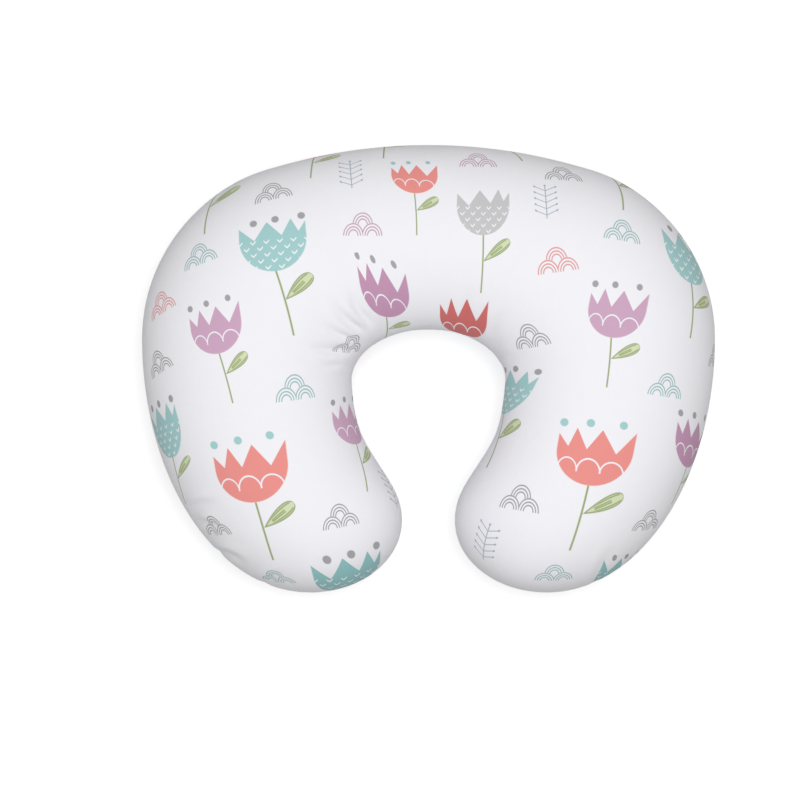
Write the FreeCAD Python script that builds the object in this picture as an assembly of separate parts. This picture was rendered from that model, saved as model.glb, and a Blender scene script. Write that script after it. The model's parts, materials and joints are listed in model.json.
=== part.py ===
import FreeCAD, Part
import os
from math import atan2, cos, degrees, radians, sin, sqrt

# C-shaped nursing pillow lying flat: +Z up, the mouth of the C towards -Y, mirror plane X = 0,
# origin on the floor under the middle of its box. Millimetres.

V = FreeCAD.Vector

# Plan outline, right half
DEPTH = 407.2  # back to arm tips
HALF_WIDTH = 260.0
WIDEST_Y = 27.0
BACK_RADIUS = 490.0
BACK_HALF_ANGLE = 17.8
SHOULDER_REACH = (58.0, 78.0)  # handles of the shoulder curve
ARM_AXIS_X = 107.0  # lowest point of an arm
ARM_END_Y = -137.0  # where the arm's rounded end starts on the inner side
MOUTH_HALF = 24.0  # half the gap between the arms
FLANK_REACH = (44.0, 72.0)  # handles of the curve from the mouth up to the opening
OPENING_HALF = 69.5
OPENING_Y = -10.5
OPENING_RISE = 46.0
TIP_RUN = 28.7  # from the lowest point of an arm to its tip, along the outline

# Cross-section
FULL_HALF_HEIGHT = 78.0
FULL_HALF_WIDTH = 100.5
TAPER = 0.6  # how fast the height falls where the body narrows
SEAM_Z = 48.0
CENTRE_RISE = 24.0  # middle of a full section above the seam

# Layers, as depths below the outer surface, and how high each lies on the floor side
CLOTH = 1.0
TAPE = (1.2, 1.8)
LINER = (3.8, 4.4)
FILL = 4.6
LINER_FLOOR = 1.1
FILL_FLOOR = 1.8
THREAD = 1.0  # width of a sewn seam

# Zip, in angles about the centre of the back's arc
SLOT_ANGLE = 16.6
TAPE_ANGLE = 17.4
COIL_START = -15.5
SLIDER_ANGLE = 14.2
SLOT_HALF = 6.5
TAPE_EDGE = 1.3  # from the zip's middle line to each tape's woven edge
TAPE_HALF = 15.0
STITCH_Z = 9.0
STITCH_SIZE = (0.8, 0.3)
COIL_BASE = -1.1
COIL_TOP = 0.9
COIL_HALF = 3.0
COIL_GAP = 0.15
COIL_CORNER = 0.45
COIL_SPREAD = 1.0  # how far each coil swings out round the slider's post
STOP_LENGTH = 2.5
STOP_GAP = 0.2  # between a stop and the coils' ends
STOP_PROUD = 0.3  # how far a stop stands over the coils
STOP_ROUND = 0.35

# Slider: s along the zip towards its closed end, n out of the wall, b up the wall
SLIDER_TAIL = -5.5
SLIDER_WAIST = (-1.0, 1.0)  # where the plates widen from the tail to the nose
SLIDER_NOSE = 6.0
FRONT_PLATE = (1.1, 2.1)
BACK_PLATE = (-3.5, -2.5)
FLANGE_FOOT = -0.8
TAIL_HALF = 4.5
MOUTH_PLATE_HALF = 5.5
RIM = 1.2
POST = ((2.2, 0.4), (4.0, 0.9), (5.4, 0.35))
BRIDGE_HALF = 1.1
BRIDGE = (-3.5, 3.0)
BRIDGE_TOP = 4.6
BRIDGE_WALL = 1.2
BRIDGE_ROOF = 0.9
BRIDGE_ROUND = 1.0
PIN_S = -0.5
PIN_N = 2.9
PIN_R = 0.55
PULL_HALF = 3.2
PULL_LENGTH = 22.0
PULL_THICK = 1.1
PULL_SLOT = 3.8
PULL_ROUND = 0.8
PULL_PLAY = 0.35  # beside the bridge
PULL_HOLE = (2.0, 7.0)  # from the tab's free end
PULL_HOLE_HALF = 1.2
PULL_HOLE_ROUND = 1.0

# Labels
RIBBON = 0.3
LABEL_WIDTH = 22.0
LABEL_LENGTH = 30.0
LABEL_STAND_OFF = 0.5
LABEL_FOLD_GAP = 0.4
LABEL_BELOW_SEAM = 0.4
LINER_LABEL_DEPTH = (2.2, 2.6)
LINER_LABEL_WIDTH = 40.0
LINER_LABEL_Z = (17.0, 46.0)
CLOSING_ANGLE = 6.5  # half of the liner's hand-sewn stretch
CLOSING_REACH = (430.0, 520.0)  # radii about the back arc's centre

STATIONS = 30
FAR = 600.0
BACK_Y = DEPTH / 2
ARC_CENTRE = V(0, BACK_Y - BACK_RADIUS, 0)


def quarter(centre, start, end):
    """Quarter of an ellipse from centre + start to centre + end."""
    curve = Part.BSplineCurve()
    poles = [centre + start, centre + start + end, centre + end]
    curve.buildFromPolesMultsKnots(poles, [3, 3], [0, 1], False, 2, [1, sqrt(0.5), 1])
    return curve.toShape()


def bezier(*poles):
    curve = Part.BezierCurve()
    curve.setPoles(list(poles))
    return curve.toShape()


def plan_outline():
    """Edges from the middle of the back, round the right arm, to the middle of the opening."""
    def on_back(angle):
        return ARC_CENTRE + V(BACK_RADIUS * sin(radians(angle)), BACK_RADIUS * cos(radians(angle)), 0)

    back_end = on_back(BACK_HALF_ANGLE)
    back = Part.Arc(on_back(0), on_back(BACK_HALF_ANGLE / 2), back_end).toShape()
    turn = radians(BACK_HALF_ANGLE)
    leave = V(cos(turn), -sin(turn), 0) * SHOULDER_REACH[0]
    widest = V(HALF_WIDTH, WIDEST_Y, 0)
    shoulder = bezier(back_end, back_end + leave, widest + V(0, SHOULDER_REACH[1], 0), widest)
    outer_arm = quarter(V(ARM_AXIS_X, WIDEST_Y, 0), V(HALF_WIDTH - ARM_AXIS_X, 0, 0), V(0, -WIDEST_Y - BACK_Y, 0))
    arm_end = quarter(V(ARM_AXIS_X, ARM_END_Y, 0), V(0, -BACK_Y - ARM_END_Y, 0), V(MOUTH_HALF - ARM_AXIS_X, 0, 0))
    mouth = V(MOUTH_HALF, ARM_END_Y, 0)
    side = V(OPENING_HALF, OPENING_Y, 0)
    flank = bezier(mouth, mouth + V(0, FLANK_REACH[0], 0), side - V(0, FLANK_REACH[1], 0), side)
    opening = quarter(V(0, OPENING_Y, 0), V(OPENING_HALF, 0, 0), V(0, OPENING_RISE, 0))
    return [back, shoulder, outer_arm, arm_end, flank, opening]


OUTLINE = plan_outline()
OUTLINE_LENGTH = sum(edge.Length for edge in OUTLINE)
TIP_LENGTH = sum(edge.Length for edge in OUTLINE[:3]) + TIP_RUN


def outline_point(length, depth):
    """Point at a length along the outline, moved into the body by depth."""
    for edge in OUTLINE:
        if length <= edge.Length or edge is OUTLINE[-1]:
            parameter = edge.getParameterByLength(min(length, edge.Length))
            ahead = edge.tangentAt(parameter)
            return edge.valueAt(parameter) + V(ahead.y, -ahead.x, 0) * depth
        length -= edge.Length


def section_frame(t, depth):
    """Outer and inner points of a section, its half height and its middle height."""
    inner_share = (t + t ** 3) / 2
    inner_length = OUTLINE_LENGTH - inner_share * (OUTLINE_LENGTH - TIP_LENGTH)
    surface_width = (outline_point(t * TIP_LENGTH, 0) - outline_point(inner_length, 0)).Length / 2
    half_height = FULL_HALF_HEIGHT * (surface_width / FULL_HALF_WIDTH) ** TAPER
    middle = SEAM_Z + CENTRE_RISE * half_height / FULL_HALF_HEIGHT
    half_height *= (FULL_HALF_HEIGHT - depth) / FULL_HALF_HEIGHT
    return outline_point(t * TIP_LENGTH, depth), outline_point(inner_length, depth), half_height, middle


def half_ellipse(outer, inner, height):
    """Exact half ellipse from outer to inner, bulging by height (negative: downwards)."""
    rise = V(0, 0, height)
    crown = (outer + inner) / 2 + rise
    curve = Part.BSplineCurve()
    poles = [outer, outer + rise, crown, inner + rise, inner]
    weights = [1, sqrt(0.5), 1, sqrt(0.5), 1]
    curve.buildFromPolesMultsKnots(poles, [3, 2, 3], [0, 0.5, 1], False, 2, weights)
    return curve.toShape()


def section_wire(t, side, depth):
    outer, inner, half_height, middle = section_frame(t, depth)
    outer, inner = (V(side * p.x, p.y, middle) for p in (outer, inner))
    return Part.Wire([half_ellipse(outer, inner, half_height), half_ellipse(inner, outer, -half_height)])


def body(depth, floor):
    """Solid of the whole pillow inside a depth, cut flat at a floor height."""
    shares = [1 - ((STATIONS - k) / STATIONS) ** 2 for k in range(STATIONS)]
    left = [section_wire(t, -1, depth) for t in reversed(shares[1:])]
    right = [section_wire(t, 1, depth) for t in shares]
    solid = Part.makeLoft(left + right, True)
    return solid.common(slab(floor, FAR))


def slab(low, high):
    return Part.makeBox(2 * FAR, 2 * FAR, high - low, V(-FAR, -FAR, low))


def ring_sector(start, end, low, high, reach=(400.0, 520.0)):
    """Sector of a ring about the back arc's centre; angles from +Y towards +X."""
    inner, outer = reach
    corners = [V(inner, 0, low), V(outer, 0, low), V(outer, 0, high), V(inner, 0, high)]
    return swept(corners, start, end)


def swept(corners, start, end):
    """Profile drawn in radius and height, turned about the back arc's centre."""
    face = Part.Face(Part.makePolygon(corners + corners[:1]))
    face.translate(ARC_CENTRE)
    face.rotate(ARC_CENTRE, V(0, 0, 1), 90 - end)
    return face.revolve(ARC_CENTRE, V(0, 0, 1), end - start)


def seam_wall():
    """Radius and downward tilt of the back's wall where the seam runs."""
    outer, inner, half_height, middle = section_frame(0, 0)
    half_width = (outer - inner).Length / 2
    drop = middle - SEAM_Z
    share = sqrt(1 - (drop / half_height) ** 2)
    radius = BACK_RADIUS - half_width * (1 - share)
    return radius, atan2(half_width * drop, half_height ** 2 * share)


WALL_RADIUS, WALL_TILT = seam_wall()
COIL_END = SLIDER_NOSE + 1.5  # end of the spread coils, ahead of the slider's middle


def zip_profile(points):
    """(n, b) points beside the wall as radius and height."""
    return [
        V(WALL_RADIUS + n * cos(WALL_TILT) + b * sin(WALL_TILT), 0, SEAM_Z - n * sin(WALL_TILT) + b * cos(WALL_TILT))
        for n, b in points
    ]


def on_zip(shape, angle):
    """Place a shape drawn in (s, n, b) on the zip at an angle."""
    a = radians(angle)
    along = V(cos(a), -sin(a), 0)
    radial = V(sin(a), cos(a), 0)
    out = radial * cos(WALL_TILT) - V(0, 0, sin(WALL_TILT))
    up = radial * sin(WALL_TILT) + V(0, 0, cos(WALL_TILT))
    origin = ARC_CENTRE + radial * WALL_RADIUS + V(0, 0, SEAM_Z)
    matrix = FreeCAD.Matrix(
        along.x, out.x, up.x, origin.x,
        along.y, out.y, up.y, origin.y,
        along.z, out.z, up.z, origin.z,
        0, 0, 0, 1,
    )
    placed = shape.copy()
    placed.Placement = FreeCAD.Placement(matrix)
    return placed


def degrees_of(length):
    return degrees(length / WALL_RADIUS)


def block(s, n, b):
    """Box from three (low, high) pairs."""
    return Part.makeBox(s[1] - s[0], n[1] - n[0], b[1] - b[0], V(s[0], n[0], b[0]))


def plate(outline, n):
    """Flat plate from an (s, b) outline between two n values."""
    points = [V(s, n[0], b) for s, b in outline]
    return Part.Face(Part.makePolygon(points + points[:1])).extrude(V(0, n[1] - n[0], 0))


def coil_profile(side, shift):
    """Section of one coil with rounded corners, on the upper (1) or lower (-1) side."""
    near = COIL_GAP + shift
    far = COIL_HALF + shift
    edge = COIL_CORNER
    points = [
        (COIL_BASE, near), (COIL_TOP - edge, near), (COIL_TOP, near + edge),
        (COIL_TOP, far - edge), (COIL_TOP - edge, far), (COIL_BASE, far),
    ]
    return zip_profile([(n, side * b) for n, b in points])


def zip_coil(side):
    """Closed chain up to the slider, then the stretch that spreads round its post."""
    spread_start = SLIDER_ANGLE + degrees_of(0.5)
    spread_end = SLIDER_ANGLE + degrees_of(COIL_END)
    closed = swept(coil_profile(side, 0), COIL_START, spread_start)
    spread = swept(coil_profile(side, COIL_SPREAD), spread_start, spread_end)
    return closed.fuse(spread).removeSplitter()


def top_stops():
    start = COIL_END + STOP_GAP
    height = (COIL_BASE, COIL_TOP + STOP_PROUD)
    low = COIL_SPREAD + COIL_GAP
    high = low + COIL_HALF
    stops = [block((start, start + STOP_LENGTH), height, span) for span in ((low, high), (-high, -low))]
    stops = [stop.makeFillet(STOP_ROUND, stop.Edges) for stop in stops]
    return Part.Compound([on_zip(stop, SLIDER_ANGLE) for stop in stops])


def bottom_stop():
    half = COIL_HALF + STOP_PROUD
    stop = block((-STOP_LENGTH - STOP_GAP, -STOP_GAP), (COIL_BASE, COIL_TOP + STOP_PROUD), (-half, half))
    return on_zip(stop.makeFillet(STOP_ROUND, stop.Edges), COIL_START)


def slider_body():
    tail = [(SLIDER_TAIL, TAIL_HALF), (SLIDER_WAIST[0], TAIL_HALF)]
    nose = [(SLIDER_WAIST[1], MOUTH_PLATE_HALF), (SLIDER_NOSE, MOUTH_PLATE_HALF)]
    edge = tail + nose
    outline = edge + [(s, -b) for s, b in reversed(edge)]
    shape = plate(outline, FRONT_PLATE).fuse(plate(outline, BACK_PLATE))
    for side in (1, -1):
        rim = edge + [(s, b - RIM) for s, b in reversed(edge)]
        shape = shape.fuse(plate([(s, side * b) for s, b in rim], (FLANGE_FOOT, FRONT_PLATE[0])))
    post = list(POST) + [(s, -b) for s, b in reversed(POST)]
    shape = shape.fuse(plate(post, (BACK_PLATE[0], FRONT_PLATE[1])))
    bridge = block(BRIDGE, (FRONT_PLATE[0], BRIDGE_TOP), (-BRIDGE_HALF, BRIDGE_HALF))
    ends = [e for e in bridge.Edges if is_top_end(e)]
    bridge = bridge.makeFillet(BRIDGE_ROUND, ends)
    window = (BRIDGE[0] + BRIDGE_WALL, BRIDGE[1] - BRIDGE_WALL)
    hole = block(window, (FRONT_PLATE[1], BRIDGE_TOP - BRIDGE_ROOF), (-TAIL_HALF, TAIL_HALF))
    return on_zip(shape.fuse(bridge).cut(hole).removeSplitter(), SLIDER_ANGLE)


def is_top_end(edge):
    """True for the two cross edges at the top of the slider's bridge."""
    low, high = edge.Vertexes[0].Point, edge.Vertexes[1].Point
    return abs(low.y - BRIDGE_TOP) < 0.01 and abs(high.y - BRIDGE_TOP) < 0.01 and abs(low.x - high.x) < 0.01


def cross_edges(shape, n_span):
    """Edges that run through a flat plate's thickness."""
    return [e for e in shape.Edges if abs(e.Vertexes[0].Point.y - e.Vertexes[1].Point.y) > n_span / 2]


def pull_tab():
    """Flat tab with a slot at its head; the bar across the slot runs under the slider's bridge."""
    end = PIN_S - PULL_LENGTH
    thick = (PIN_N - PULL_THICK / 2, PIN_N + PULL_THICK / 2)
    tab = block((end, PIN_S), thick, (-PULL_HALF, PULL_HALF))
    far_corners = [e for e in cross_edges(tab, PULL_THICK) if e.Vertexes[0].Point.x < end + PULL_ROUND]
    tab = tab.makeFillet(PULL_ROUND, far_corners)
    slot_half = BRIDGE_HALF + PULL_PLAY
    slot = block((PIN_S - PULL_SLOT, PIN_S), thick, (-slot_half, slot_half))
    hole = block((end + PULL_HOLE[0], end + PULL_HOLE[1]), thick, (-PULL_HOLE_HALF, PULL_HOLE_HALF))
    hole = hole.makeFillet(PULL_HOLE_ROUND, cross_edges(hole, PULL_THICK))
    pin = Part.makeCylinder(PIN_R, 2 * PULL_HALF, V(PIN_S, PIN_N, -PULL_HALF), V(0, 0, 1))
    return on_zip(tab.cut(slot).cut(hole).fuse(pin).removeSplitter(), SLIDER_ANGLE)


def care_label(wall_x):
    """Ribbon folded double and sewn in by its two ends, hanging at the widest point of the right arm."""
    left = wall_x + LABEL_STAND_OFF
    top = SEAM_Z - LABEL_BELOW_SEAM
    bottom = top - LABEL_LENGTH
    gap = LABEL_FOLD_GAP
    out = left + 2 * RIBBON + gap
    outer_r = RIBBON + gap / 2
    middle = left + outer_r
    fold_z = bottom + outer_r
    path = [
        Part.makeLine(V(left, 0, top), V(left, 0, fold_z)),
        Part.Arc(V(left, 0, fold_z), V(middle, 0, bottom), V(out, 0, fold_z)).toShape(),
        Part.makeLine(V(out, 0, fold_z), V(out, 0, top)),
        Part.makeLine(V(out, 0, top), V(out - RIBBON, 0, top)),
        Part.makeLine(V(out - RIBBON, 0, top), V(out - RIBBON, 0, fold_z)),
        Part.Arc(V(out - RIBBON, 0, fold_z), V(middle, 0, fold_z - gap / 2), V(left + RIBBON, 0, fold_z)).toShape(),
        Part.makeLine(V(left + RIBBON, 0, fold_z), V(left + RIBBON, 0, top)),
        Part.makeLine(V(left + RIBBON, 0, top), V(left, 0, top)),
    ]
    ribbon = Part.Face(Part.Wire(path)).extrude(V(0, LABEL_WIDTH, 0))
    ribbon.translate(V(0, WIDEST_Y - LABEL_WIDTH / 2, 0))
    return ribbon


def wall_x_at_seam(outer):
    """Where the outer wall stands at the seam's height, at the widest point."""
    cut = outer.common(Part.makeBox(FAR, LABEL_WIDTH, 1, V(0, WIDEST_Y - LABEL_WIDTH / 2, SEAM_Z - 0.5)))
    return cut.optimalBoundingBox(False, False).XMax


def build():
    outer = body(0, 0)
    cover = outer.cut(body(CLOTH, CLOTH))
    slot = ring_sector(-SLOT_ANGLE, SLOT_ANGLE, SEAM_Z - SLOT_HALF, SEAM_Z + SLOT_HALF)
    seam_low = SEAM_Z - THREAD / 2
    seam_high = SEAM_Z + THREAD / 2
    parts = {
        "cover_top_panel": cover.common(slab(seam_high, FAR)).cut(slot),
        "cover_bottom_panel": cover.common(slab(-1, seam_low)).cut(slot),
        "cover_seam_stitching": cover.common(slab(seam_low, seam_high)).cut(slot),
    }

    tape = body(TAPE[0], 0).cut(body(TAPE[1], 0))
    # inside the leaning wall, the zip's middle line lies a little above the seam
    tape_z = SEAM_Z + (TAPE[0] + TAPE[1]) / 2 * sin(WALL_TILT)
    stitch = body(-STITCH_SIZE[1], 0).cut(outer)
    for name, side in (("upper", 1), ("lower", -1)):
        span = sorted((tape_z + side * TAPE_EDGE, tape_z + side * TAPE_HALF))
        parts["zip_tape_" + name] = tape.common(ring_sector(-TAPE_ANGLE, TAPE_ANGLE, *span))
        parts["zip_coil_" + name] = zip_coil(side)
        span = sorted((SEAM_Z + side * STITCH_Z, SEAM_Z + side * (STITCH_Z + STITCH_SIZE[0])))
        parts["zip_topstitch_" + name] = stitch.common(ring_sector(-SLOT_ANGLE, SLOT_ANGLE, *span))

    parts["zip_top_stops"] = top_stops()
    parts["zip_bottom_stop"] = bottom_stop()
    parts["zip_slider_body"] = slider_body()
    parts["zip_pull_tab"] = pull_tab()
    parts["care_label"] = care_label(wall_x_at_seam(outer))

    liner_outer = body(LINER[0], LINER_FLOOR)
    liner = liner_outer.cut(body(LINER[1], LINER_FLOOR + LINER[1] - LINER[0]))
    liner_seam = liner.common(slab(seam_low, seam_high))
    closing = ring_sector(-CLOSING_ANGLE, CLOSING_ANGLE, SEAM_Z - 2, SEAM_Z + 2, CLOSING_REACH)
    parts["liner_top_panel"] = liner.common(slab(seam_high, FAR))
    parts["liner_bottom_panel"] = liner.common(slab(-1, seam_low))
    parts["liner_seam_stitching"] = liner_seam.cut(closing)
    parts["liner_closing_stitch"] = liner_seam.common(closing)
    label = body(LINER_LABEL_DEPTH[0], 0).cut(body(LINER_LABEL_DEPTH[1], 0))
    low, high = LINER_LABEL_Z
    place = V(-FAR, WIDEST_Y - LINER_LABEL_WIDTH / 2, low)
    parts["liner_label"] = label.common(Part.makeBox(FAR - 200, LINER_LABEL_WIDTH, high - low, place))
    parts["polyester_fill"] = body(FILL, FILL_FLOOR)
    return parts


os.makedirs("parts", exist_ok=True)
for node, shape in build().items():
    solids = shape.Solids
    shape = solids[0] if len(solids) == 1 else Part.Compound(solids)
    box = shape.optimalBoundingBox(False, False)
    print(f"{node}: {len(solids)} solid(s), valid {shape.isValid()}, {shape.Volume / 1000:.2f} cm3, "
          f"x {box.XMin:.1f} {box.XMax:.1f}, y {box.YMin:.1f} {box.YMax:.1f}, z {box.ZMin:.1f} {box.ZMax:.1f}")
    shape.exportStep(f"parts/{node}.step")
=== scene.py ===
import json
from math import asin, atan2, cos, pi, radians, sin, sqrt

import bpy
import numpy as np
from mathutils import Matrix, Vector


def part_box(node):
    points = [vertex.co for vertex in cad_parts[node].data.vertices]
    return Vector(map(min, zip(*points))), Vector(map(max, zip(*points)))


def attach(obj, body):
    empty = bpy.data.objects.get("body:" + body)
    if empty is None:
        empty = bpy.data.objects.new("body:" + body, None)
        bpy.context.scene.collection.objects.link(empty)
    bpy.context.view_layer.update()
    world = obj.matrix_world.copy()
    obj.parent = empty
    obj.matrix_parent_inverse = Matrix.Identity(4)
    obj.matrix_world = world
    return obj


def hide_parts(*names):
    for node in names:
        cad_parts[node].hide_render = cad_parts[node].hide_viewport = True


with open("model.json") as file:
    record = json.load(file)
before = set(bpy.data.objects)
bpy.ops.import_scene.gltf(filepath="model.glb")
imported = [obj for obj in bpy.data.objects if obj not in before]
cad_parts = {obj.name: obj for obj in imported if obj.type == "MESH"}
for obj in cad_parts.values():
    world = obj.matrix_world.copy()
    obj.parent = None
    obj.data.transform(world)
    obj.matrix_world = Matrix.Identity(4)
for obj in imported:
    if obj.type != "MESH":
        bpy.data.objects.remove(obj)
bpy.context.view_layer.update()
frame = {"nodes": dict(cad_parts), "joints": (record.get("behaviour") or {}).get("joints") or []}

# A C-shaped nursing pillow lying flat. Metres, +Z up, the mouth of the C towards -Y.

TOP_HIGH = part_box("cover_top_panel")[1]
SEAM_LOW, SEAM_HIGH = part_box("cover_seam_stitching")
JOINTS = {joint["name"]: joint for joint in frame["joints"]}

# One design millimetre: the pillow is 260 of them from its mirror plane to its side.
MM = TOP_HIGH.x / 260.0

# Plan outline, right half
BACK_Y = TOP_HIGH.y
ARC_CENTRE_Y = JOINTS["slider_travel"]["pos_m"][1]
BACK_RADIUS = BACK_Y - ARC_CENTRE_Y
BACK_HALF_ANGLE = 17.8
HALF_WIDTH = TOP_HIGH.x
WIDEST_Y = 27 * MM
SHOULDER_REACH = (58 * MM, 78 * MM)
ARM_AXIS_X = 107 * MM
ARM_END_Y = -137 * MM
MOUTH_HALF = 24 * MM
FLANK_REACH = (44 * MM, 72 * MM)
OPENING_HALF = 69.5 * MM
OPENING_Y = -10.5 * MM
OPENING_RISE = 46 * MM
TIP_RUN = 28.7 * MM  # from the outer arm's end to where the two seams meet at the tip
OUTLINE_STEPS = 400  # points on each stretch of the outline

# Cross-section
SEAM_Z = (SEAM_LOW.z + SEAM_HIGH.z) / 2
CENTRE_RISE = 24 * MM
FULL_HALF_HEIGHT = TOP_HIGH.z - SEAM_Z - CENTRE_RISE
FULL_HALF_WIDTH = 100.5 * MM
TAPER = 0.6  # power of the width that the height follows
NARROW = 20 * MM  # towards the tips, insets shrink below this half width
REST_BLEND = 2.5 * MM  # how softly the underside runs into its flat
SEAM_ANGLE = -asin(CENTRE_RISE / FULL_HALF_HEIGHT)

# Grid of the cover: stations along the body, rings round it
COARSE_STATIONS = 100  # from the middle of the back to one arm's tip
TOP_RINGS = 44
BOTTOM_RINGS = 30
STATION_EASE = 1.3
RING_EASE = 0.5
CLOTH_THICK = 0.8 * MM


# ---------------------------------------------------------------- outline and sections

def unit(vectors):
    """One vector or many, each at length one."""
    return vectors / np.maximum(np.linalg.norm(vectors, axis=-1, keepdims=True), 1e-12)


def ellipse_arc(centre, radii, start, end):
    """Points of an ellipse between two angles in degrees."""
    turn = np.radians(np.linspace(start, end, OUTLINE_STEPS))
    return np.c_[centre[0] + radii[0] * np.cos(turn), centre[1] + radii[1] * np.sin(turn)]


def bezier(*poles):
    """Points of a cubic curve with four poles."""
    u = np.linspace(0, 1, OUTLINE_STEPS)[:, None]
    a, b, c, d = (np.array(pole, float) for pole in poles)
    return (1 - u) ** 3 * a + 3 * (1 - u) ** 2 * u * b + 3 * (1 - u) * u ** 2 * c + u ** 3 * d


def plan_outline():
    """Points from the middle of the back, round the right arm, to the middle of the opening."""
    back = ellipse_arc((0, ARC_CENTRE_Y), (BACK_RADIUS, BACK_RADIUS), 90, 90 - BACK_HALF_ANGLE)
    turn = radians(BACK_HALF_ANGLE)
    leave = back[-1] + np.array([cos(turn), -sin(turn)]) * SHOULDER_REACH[0]
    widest = (HALF_WIDTH, WIDEST_Y)
    shoulder = bezier(back[-1], leave, (HALF_WIDTH, WIDEST_Y + SHOULDER_REACH[1]), widest)
    outer_arm = ellipse_arc((ARM_AXIS_X, WIDEST_Y), (HALF_WIDTH - ARM_AXIS_X, WIDEST_Y + BACK_Y), 0, -90)
    arm_end = ellipse_arc((ARM_AXIS_X, ARM_END_Y), (ARM_AXIS_X - MOUTH_HALF, ARM_END_Y + BACK_Y), -90, -180)
    flank = bezier(
        (MOUTH_HALF, ARM_END_Y), (MOUTH_HALF, ARM_END_Y + FLANK_REACH[0]),
        (OPENING_HALF, OPENING_Y - FLANK_REACH[1]), (OPENING_HALF, OPENING_Y),
    )
    opening = ellipse_arc((0, OPENING_Y), (OPENING_HALF, OPENING_RISE), 0, 90)
    pieces = [back, shoulder, outer_arm, arm_end, flank, opening]
    outer_length = sum(np.hypot(*np.diff(piece, axis=0).T).sum() for piece in pieces[:3])
    points = np.vstack([back] + [piece[1:] for piece in pieces[1:]])
    lengths = np.r_[0, np.cumsum(np.hypot(*np.diff(points, axis=0).T))]
    return points, lengths, outer_length + TIP_RUN


OUTLINE, OUTLINE_LENGTHS, TIP_LENGTH = plan_outline()


def ramp(value, start, end):
    """0 before start, 1 after end, smooth between."""
    share = np.clip((value - start) / (end - start), 0, 1)
    return share * share * (3 - 2 * share)


def outline_at(length):
    """Places on the outline at distances along it."""
    return np.stack([np.interp(length, OUTLINE_LENGTHS, OUTLINE[:, k]) for k in (0, 1)], -1)


def inner_length(t):
    """Distance along the outline of the inner seam's point opposite an outer one."""
    return OUTLINE_LENGTHS[-1] - (t + t ** 3) / 2 * (OUTLINE_LENGTHS[-1] - TIP_LENGTH)


def sections(shares):
    """Middle, cross direction, half width, half height and middle height, at shares from -1 to 1."""
    t = np.abs(shares)
    side = np.where(shares < 0, -1.0, 1.0)[:, None] * np.array([1.0, 0.0]) + np.array([0.0, 1.0])
    outer = outline_at(t * TIP_LENGTH) * side
    inner = outline_at(inner_length(t)) * side
    across = outer - inner
    width = np.linalg.norm(across, axis=1)
    middle = (outer + inner) / 2
    # at the tips the two points meet, so the direction comes from just beside them
    near = np.minimum(t, 1 - 1e-4)
    direction = unit(outline_at(near * TIP_LENGTH) * side - outline_at(inner_length(near)) * side)
    half_height = FULL_HALF_HEIGHT * (width / 2 / FULL_HALF_WIDTH) ** TAPER
    return middle, direction, width / 2, half_height, SEAM_Z + CENTRE_RISE * half_height / FULL_HALF_HEIGHT


def body_points(shares, angles, depth=0.0, floor=0.0):
    """Surface points for shares (rows) and section angles (columns), inset by depth, above a floor."""
    middle, direction, half_width, half_height, height = sections(shares)
    angles = np.broadcast_to(angles, (len(shares), np.shape(angles)[-1]))
    inset = depth * np.clip(half_width / NARROW, 0, 1)
    across = (half_width - inset)[:, None] * np.cos(angles)
    up = (half_height * (1 - depth / FULL_HALF_HEIGHT))[:, None] * np.sin(angles)
    xy = middle[:, None, :] + direction[:, None, :] * across[..., None]
    z = height[:, None] + up - floor
    z = floor + (z + np.sqrt(z ** 2 + REST_BLEND ** 2)) / 2
    return np.concatenate([xy, z[..., None]], -1)


def station_shares(count):
    """Shares from one arm tip to the other, closer together towards the tips."""
    u = np.linspace(-1, 1, 2 * count + 1)
    return np.sign(u) * (1 - (1 - np.abs(u)) ** STATION_EASE)


def ring_angles(top, bottom):
    """Section angles from the outer seam over the top to the inner seam, and back underneath."""
    over = SEAM_ANGLE + crowded(top) * (pi - 2 * SEAM_ANGLE)
    under = pi - SEAM_ANGLE + crowded(bottom) * (pi + 2 * SEAM_ANGLE)
    return over, under


def crowded(count):
    """Shares from 0 to 1, closer together at both ends."""
    u = np.linspace(0, 1, count + 1)
    return u - RING_EASE * np.sin(2 * pi * u) / (2 * pi)


# ---------------------------------------------------------------- cloth simulation of the cover

SIM_FRAMES = 20
CLOTH = {
    "quality": 5, "mass": 0.3, "tension_stiffness": 20, "compression_stiffness": 20, "shear_stiffness": 8,
    "bending_stiffness": 9, "bending_damping": 2, "tension_damping": 8, "uniform_pressure_force": 3.0,
    "shrink_min": -0.02,
}
SIM_CAP = 2.2 * MM  # how far a wrinkle may leave the design shape
CALM_ANGLES = (radians(80), radians(130))  # the outer half of the top is pulled smooth
CALM_SHARE = 0.2
ZIP_HALF_ANGLE = 16.6  # degrees of the back's arc on each side that the zip's slot takes up
ZIP_STILL = 30 * MM  # height of the band round the zip that stays still
ZIP_MARGIN = 4  # degrees beyond the zip's ends where the band ends
ZIP_FADE = 3
BACK_WALL = 80 * MM  # what lies further in from the back isn't its wall
RESTING = 4 * MM  # below this height the underside is held by what it rests on
FINE_PASSES = 2  # averages that take the grid's own pattern out of the wrinkles
SHAPE_PASSES = 60  # averages that leave only the swelling, which is taken off
WRINKLE_CALM = (4 * MM, 16 * MM)  # heights between which the wrinkles set in above the underside


def arc_angle(points):
    """Angle about the back arc's centre, from +Y towards +X, in degrees."""
    return np.degrees(np.arctan2(points[..., 0], points[..., 1] - ARC_CENTRE_Y))


def near_zip(points):
    """1 on the stretch of wall that carries the zip, falling to 0 around it."""
    side = np.clip((ZIP_HALF_ANGLE + ZIP_MARGIN - np.abs(arc_angle(points))) / ZIP_FADE, 0, 1)
    height = np.clip(2 - np.abs(points[..., 2] - SEAM_Z) / (ZIP_STILL / 2), 0, 1)
    outside = points[..., 1] > BACK_Y - BACK_WALL
    return side * height * outside


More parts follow.
